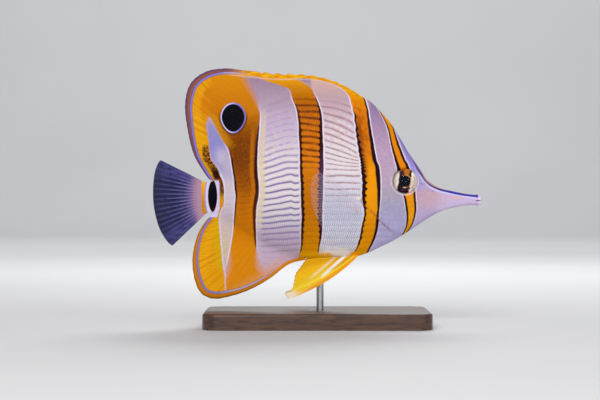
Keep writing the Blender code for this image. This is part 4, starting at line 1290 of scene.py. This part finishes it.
def pelvicPaint():
    p = Paint("pelvic_fin_yellow")
    p.seen()
    v, t = p.read("outward"), p.read("across")
    rays = raysIn(p, pelvic["rays"] * 2).step(0.7, 0.2)
    p.colour = p.ramp(t, {0: (244, 160, 2), 0.2: (250, 200, 24), 0.32: (255, 232, 76), 0.46: (250, 208, 36),
                          0.66: (242, 180, 6), 1: (230, 160, 4)})
    p.lay((250, 200, 20), rays, 0.3)
    p.lay((228, 160, 4), v.step(0.5, 0.12), t.step(0.2, 0.45), 0.9)
    p.lay((255, 249, 236), p.streak((16.5, -25.5), (2.5, -37.8), 0.7, 0.5), 0.95)
    p.lay((255, 244, 222), p.streak((9.5, -28), (-3, -38.5), 0.4, 0.7), 0.5 + rays * 0.3)
    p.lay((255, 236, 160), p.streak((9, -36.5), (-13, -48.4), 0.3, 0.5), 0.7)
    p.lay((244, 162, 2), (t + v * v * 0.1).step(0.26, 0.18), v.step(0.9, 0.6), 0.95)
    p.lay((252, 236, 220), v.step(0.78, 0.94), t.step(0.34, 0.2), 0.9)
    return p.finish(bump=(p.noise(1.2, 3), 0.25, 0.08), Roughness=0.42, Specular_IOR_Level=0.12)


makeTailFin().data.materials.append(tailPaint())
pectoralFinish, pelvicFinish = pectoralPaint(), pelvicPaint()
for word, side in (("left", 1), ("right", -1)):
    makePectoralFin(word, side).data.materials.append(pectoralFinish)
    makePelvicFin(word, side).data.materials.append(pelvicFinish)
print("thin fins done")

# Eyes: a ball with its iris and pupil in relief under a clear cornea

def domePiece(name, side, shape, pupil=0):  # a shell that bulges outwards from the head
    radius, curve = shape["radius"], shape["curve"]
    bm = bmesh.new()
    bmesh.ops.create_circle(bm, cap_ends=False, segments=eye["sides"], radius=radius)
    ring = bm.edges[:]
    for k in range(1, eye["rings"]):
        made = bmesh.ops.extrude_edge_only(bm, edges=ring)["geom"]
        ring = picked(made, "BMEdge")
        for vert in picked(made):
            vert.co = Vector((vert.co.x, vert.co.y, 0)).normalized() * (radius * (1 - k / eye["rings"]))
    bmesh.ops.holes_fill(bm, edges=ring, sides=0)
    bmesh.ops.poke(bm, faces=[f for f in bm.faces if len(f.verts) > 4])
    for vert in bm.verts:
        r = vert.co.xy.length
        height = math.sqrt(max(curve ** 2 - r ** 2, 0)) - curve
        if pupil:
            height -= eye["pupilDepth"] * (1 - float(smoothStep(*eye["pupilEdge"], r - pupil)))
            height += eye["ringHeight"] * float(bell(r - pupil - eye["ringWidth"], eye["ringWidth"]))
        vert.co.z = height
    turn = Matrix.Rotation(math.radians(-90 * side), 4, "X")
    place = Matrix.Translation((eye["place"][0], side * (eye["apex"] - shape["back"]), eye["place"][1]))
    bmesh.ops.transform(bm, matrix=place @ turn, verts=bm.verts)
    made = bmesh.ops.extrude_face_region(bm, geom=bm.faces[:], use_keep_orig=True)["geom"]
    bmesh.ops.translate(bm, vec=(0, -side * shape["thick"], 0), verts=picked(made))
    bmesh.ops.recalc_face_normals(bm, faces=bm.faces)
    bmesh.ops.translate(bm, vec=(0, 0, axisHeight), verts=bm.verts)
    bmesh.ops.scale(bm, vec=(mm, mm, mm), verts=bm.verts)
    piece = writeMesh(name, bm)
    piece.data.shade_smooth()
    writePlaces(piece.data)
    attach(piece, "root")
    return piece


def irisPaint():
    p = Paint("iris")
    x, z = p.seen()
    frayed = (p.noise(0.6, 3) - 0.5) * 1.1
    dx = x - eye["place"][0] + frayed
    dz = z - eye["place"][1]
    slanted = dx - dz * 0.16 + 0.15
    fromStripe = abs(slanted)
    ring = p.oval(eye["place"], (1, 1))
    pupil = p.oval((eye["place"][0] - 0.05, eye["place"][1]), (2.9, 2.8))
    fibre = p.noise(1.3, 4)
    p.colour = p.mix(fibre.step(0.4, 0.65) * 0.5, (244, 234, 220), (216, 198, 176))
    p.lay((206, 178, 164), ring.within(4.6, 5.2, 0.3), dx.over(0, 1), 0.8)
    p.lay((226, 204, 200), ring.step(5.3, 6), 0.7)
    p.lay((255, 246, 226), fromStripe.within(3, 3.9, 0.35), ring.step(6, 5.4))
    p.lay((40, 14, 30), fromStripe.under(3, 0.35))
    p.lay((70, 34, 62), p.oval((42, 14.2), (1.6, 1.9)).under(0.9, 0.45), 0.8)
    p.lay((64, 26, 22), slanted.within(-2.6, 2.6, 0.6), dz.within(-4.2, -2.4, 0.5), 0.7)
    p.lay((52, 26, 60), p.oval((41.6, 5.4), (1.6, 1.2)).under(0.9, 0.5), 0.7)
    glow = p.oval((44.6, 14.6), (1.75, 2.6)).under(0.88, 0.3)
    p.lay(p.mix(fibre.step(0.45, 0.62), (226, 134, 30), (176, 88, 22)), glow, 0.95)
    p.lay((228, 138, 20), ring.over(5.5, 0.4), dx.within(-2.4, 1.9, 0.6), dz.over(3, 1), 0.85)
    p.lay((226, 140, 62), pupil.within(1.02, 1.22, 0.06), dz.over(1.6, 0.7), dx.over(-0.4, 0.7), 0.9)
    p.lay((192, 96, 30), pupil.within(1.05, 1.22, 0.06), dz.under(-1.2, 0.6), dx.over(0.6, 0.8), 0.85)
    p.lay((236, 196, 150), pupil.within(1.03, 1.3, 0.08), dz.within(-1.8, 0.9, 0.8), dx.over(1.5, 0.5), 0.8)
    p.lay((198, 178, 206), ring.within(4.4, 4.8, 0.2), dx.within(1.6, 4.4, 0.4), dz.under(-2, 0.6), 0.8)
    p.lay((96, 60, 98), ring.within(4.3, 4.6, 0.15), dx.within(-1.6, 1.4, 0.5), dz.under(-2.4, 0.5), 0.7)
    # Painted highlight: a cream glint of reflected light below the pupil.
    p.lay((250, 226, 178), p.oval((43.4, 6.25), (1.15, 0.36)).under(0.75, 0.4), 0.95)
    p.lay((5, 6, 24), pupil.under(1, 0.04))
    return p.finish(bump=(fibre, 0.3, 0.08), Roughness=0.45, Specular_IOR_Level=0.08)


def corneaPaint():
    p = Paint("cornea")
    return p.finish((1, 1, 1, 1), Roughness=p.noise(0.3).blend(0.02, 0.06), Transmission_Weight=1, IOR=1.1)


irisFinish, corneaFinish = irisPaint(), corneaPaint()
for word, side in (("left", 1), ("right", -1)):
    ball = domePiece("eyeball_" + word, side, eye["ball"], eye["pupil"])
    ball.data.materials.append(irisFinish)
    clear = domePiece("cornea_" + word, side, eye["cornea"])
    clear.data.materials.append(corneaFinish)
    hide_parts("eye_" + word)
print("eyes done")

# Stand

def woodPaint():
    p = Paint("dark_walnut")
    grain = p.noise(0.09, 5, (0.16, 1, 1), 0.6)
    rings = (grain * 9).fract()
    pores = p.noise(1.6, 2, (0.06, 1, 1))
    colour = p.ramp(rings, {0: (70, 44, 30), 0.55: (92, 60, 42), 0.9: (58, 36, 26), 1: (66, 42, 30)})
    colour = p.mix(pores.step(0.56, 0.7) * 0.6, colour, (36, 22, 16))
    return p.finish(colour, (pores, 0.35, 0.08), Roughness=pores.blend(0.34, 0.55), Coat_Weight=0.2,
                    Coat_Roughness=0.3)


def steelPaint():
    p = Paint("brushed_steel")
    lines = p.noise(2.2, 3, (1, 1, 0.04))
    metal = p.mix(lines, (150, 152, 156), (206, 208, 210))
    return p.finish(metal, (lines, 0.2, 0.04), Roughness=lines.blend(0.22, 0.4), Metallic=1)


for node, finish in (("stand_base", woodPaint()), ("stand_rod", steelPaint())):
    held = bpy.data.objects[node] if node in bpy.data.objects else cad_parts[node]
    held.data.materials.clear()
    held.data.materials.append(finish)

# Studio

studio = {  # metres
    "floorHalf": 2.2, "bend": 0.8, "bendSteps": 16, "wallTop": 1.6, "lampAim": (-0.005, 0, axisHeight * mm),
    "lamps": {  # place, size, power, colour
        "key": ((-0.28, -0.8, 0.62), (0.45, 0.4), 4.9, (1, 0.98, 0.95)),
        "fill": ((0.65, -0.72, 0.42), (0.6, 0.6), 2.5, (0.95, 0.97, 1)),
        "low": ((-0.05, -0.95, 0.09), (0.9, 0.12), 0.9, (1, 1, 1)),
        "rim": ((0.1, 0.7, 0.7), (0.6, 0.4), 5, (1, 1, 1)),
        "backdrop": ((0, 1, 1.5), (2.4, 0.8), 28, (1, 1, 1)),
    },
    "backdropAim": (0, 3, 0.2), "sky": (0.9, 0.93, 1, 1), "skyStrength": 0.25,
}


def makeFloor():
    half = studio["floorHalf"]
    bm = bmesh.new()
    bmesh.ops.create_grid(bm, x_segments=1, y_segments=1, size=half)
    far = [e for e in bm.edges if all(v.co.y > 0.9 * half for v in e.verts)]
    bend = bmesh.ops.spin(bm, geom=far + [v for e in far for v in e.verts], cent=(0, half, studio["bend"]),
                          axis=(1, 0, 0), angle=math.radians(90), steps=studio["bendSteps"],
                          use_duplicate=False)["geom_last"]
    made = bmesh.ops.extrude_edge_only(bm, edges=picked(bend, "BMEdge"))["geom"]
    bmesh.ops.translate(bm, vec=(0, 0, studio["wallTop"]), verts=picked(made))
    floor = writeMesh("floor", bm)
    floor.data.shade_smooth()
    p = Paint("pale_floor")
    colour = p.mix(p.noise(0.004), (214, 214, 216), (222, 222, 222))
    floor.data.materials.append(p.finish(colour, Roughness=0.75))


def areaLight(name, place, aim, size, power, colour):
    data = bpy.data.lights.new(name, "AREA")
    data.shape = "RECTANGLE"
    data.size, data.size_y = size
    data.energy = power
    data.color = colour
    lamp = addObject(name, data)
    lamp.location = place
    lamp.rotation_euler = (Vector(aim) - Vector(place)).to_track_quat("-Z", "Y").to_euler()


camera = {"distance": 0.9, "frameWidth": 0.3, "seen": (-8.5, 0), "sensor": 36}


def makeCamera():
    data = bpy.data.cameras.new("camera")
    data.sensor_width = camera["sensor"]
    data.lens = camera["sensor"] * camera["distance"] / camera["frameWidth"]
    data.clip_start = 0.01
    view = addObject("camera", data)
    x, z = camera["seen"]
    view.location = (x * mm, -camera["distance"], (z + axisHeight) * mm)
    view.rotation_euler = (math.radians(90), 0, 0)
    bpy.context.scene.camera = view


makeFloor()
for name, (place, size, power, colour) in studio["lamps"].items():
    areaLight(name, place, studio["backdropAim" if name == "backdrop" else "lampAim"], size, power, colour)
world = bpy.data.worlds.new("studio")
bpy.context.scene.world = world
world.use_nodes = True
sky = world.node_tree.nodes["Background"].inputs
sky["Color"].default_value, sky["Strength"].default_value = studio["sky"], studio["skyStrength"]
bpy.context.scene.view_settings.view_transform = "Standard"
makeCamera()
print("studio ready")
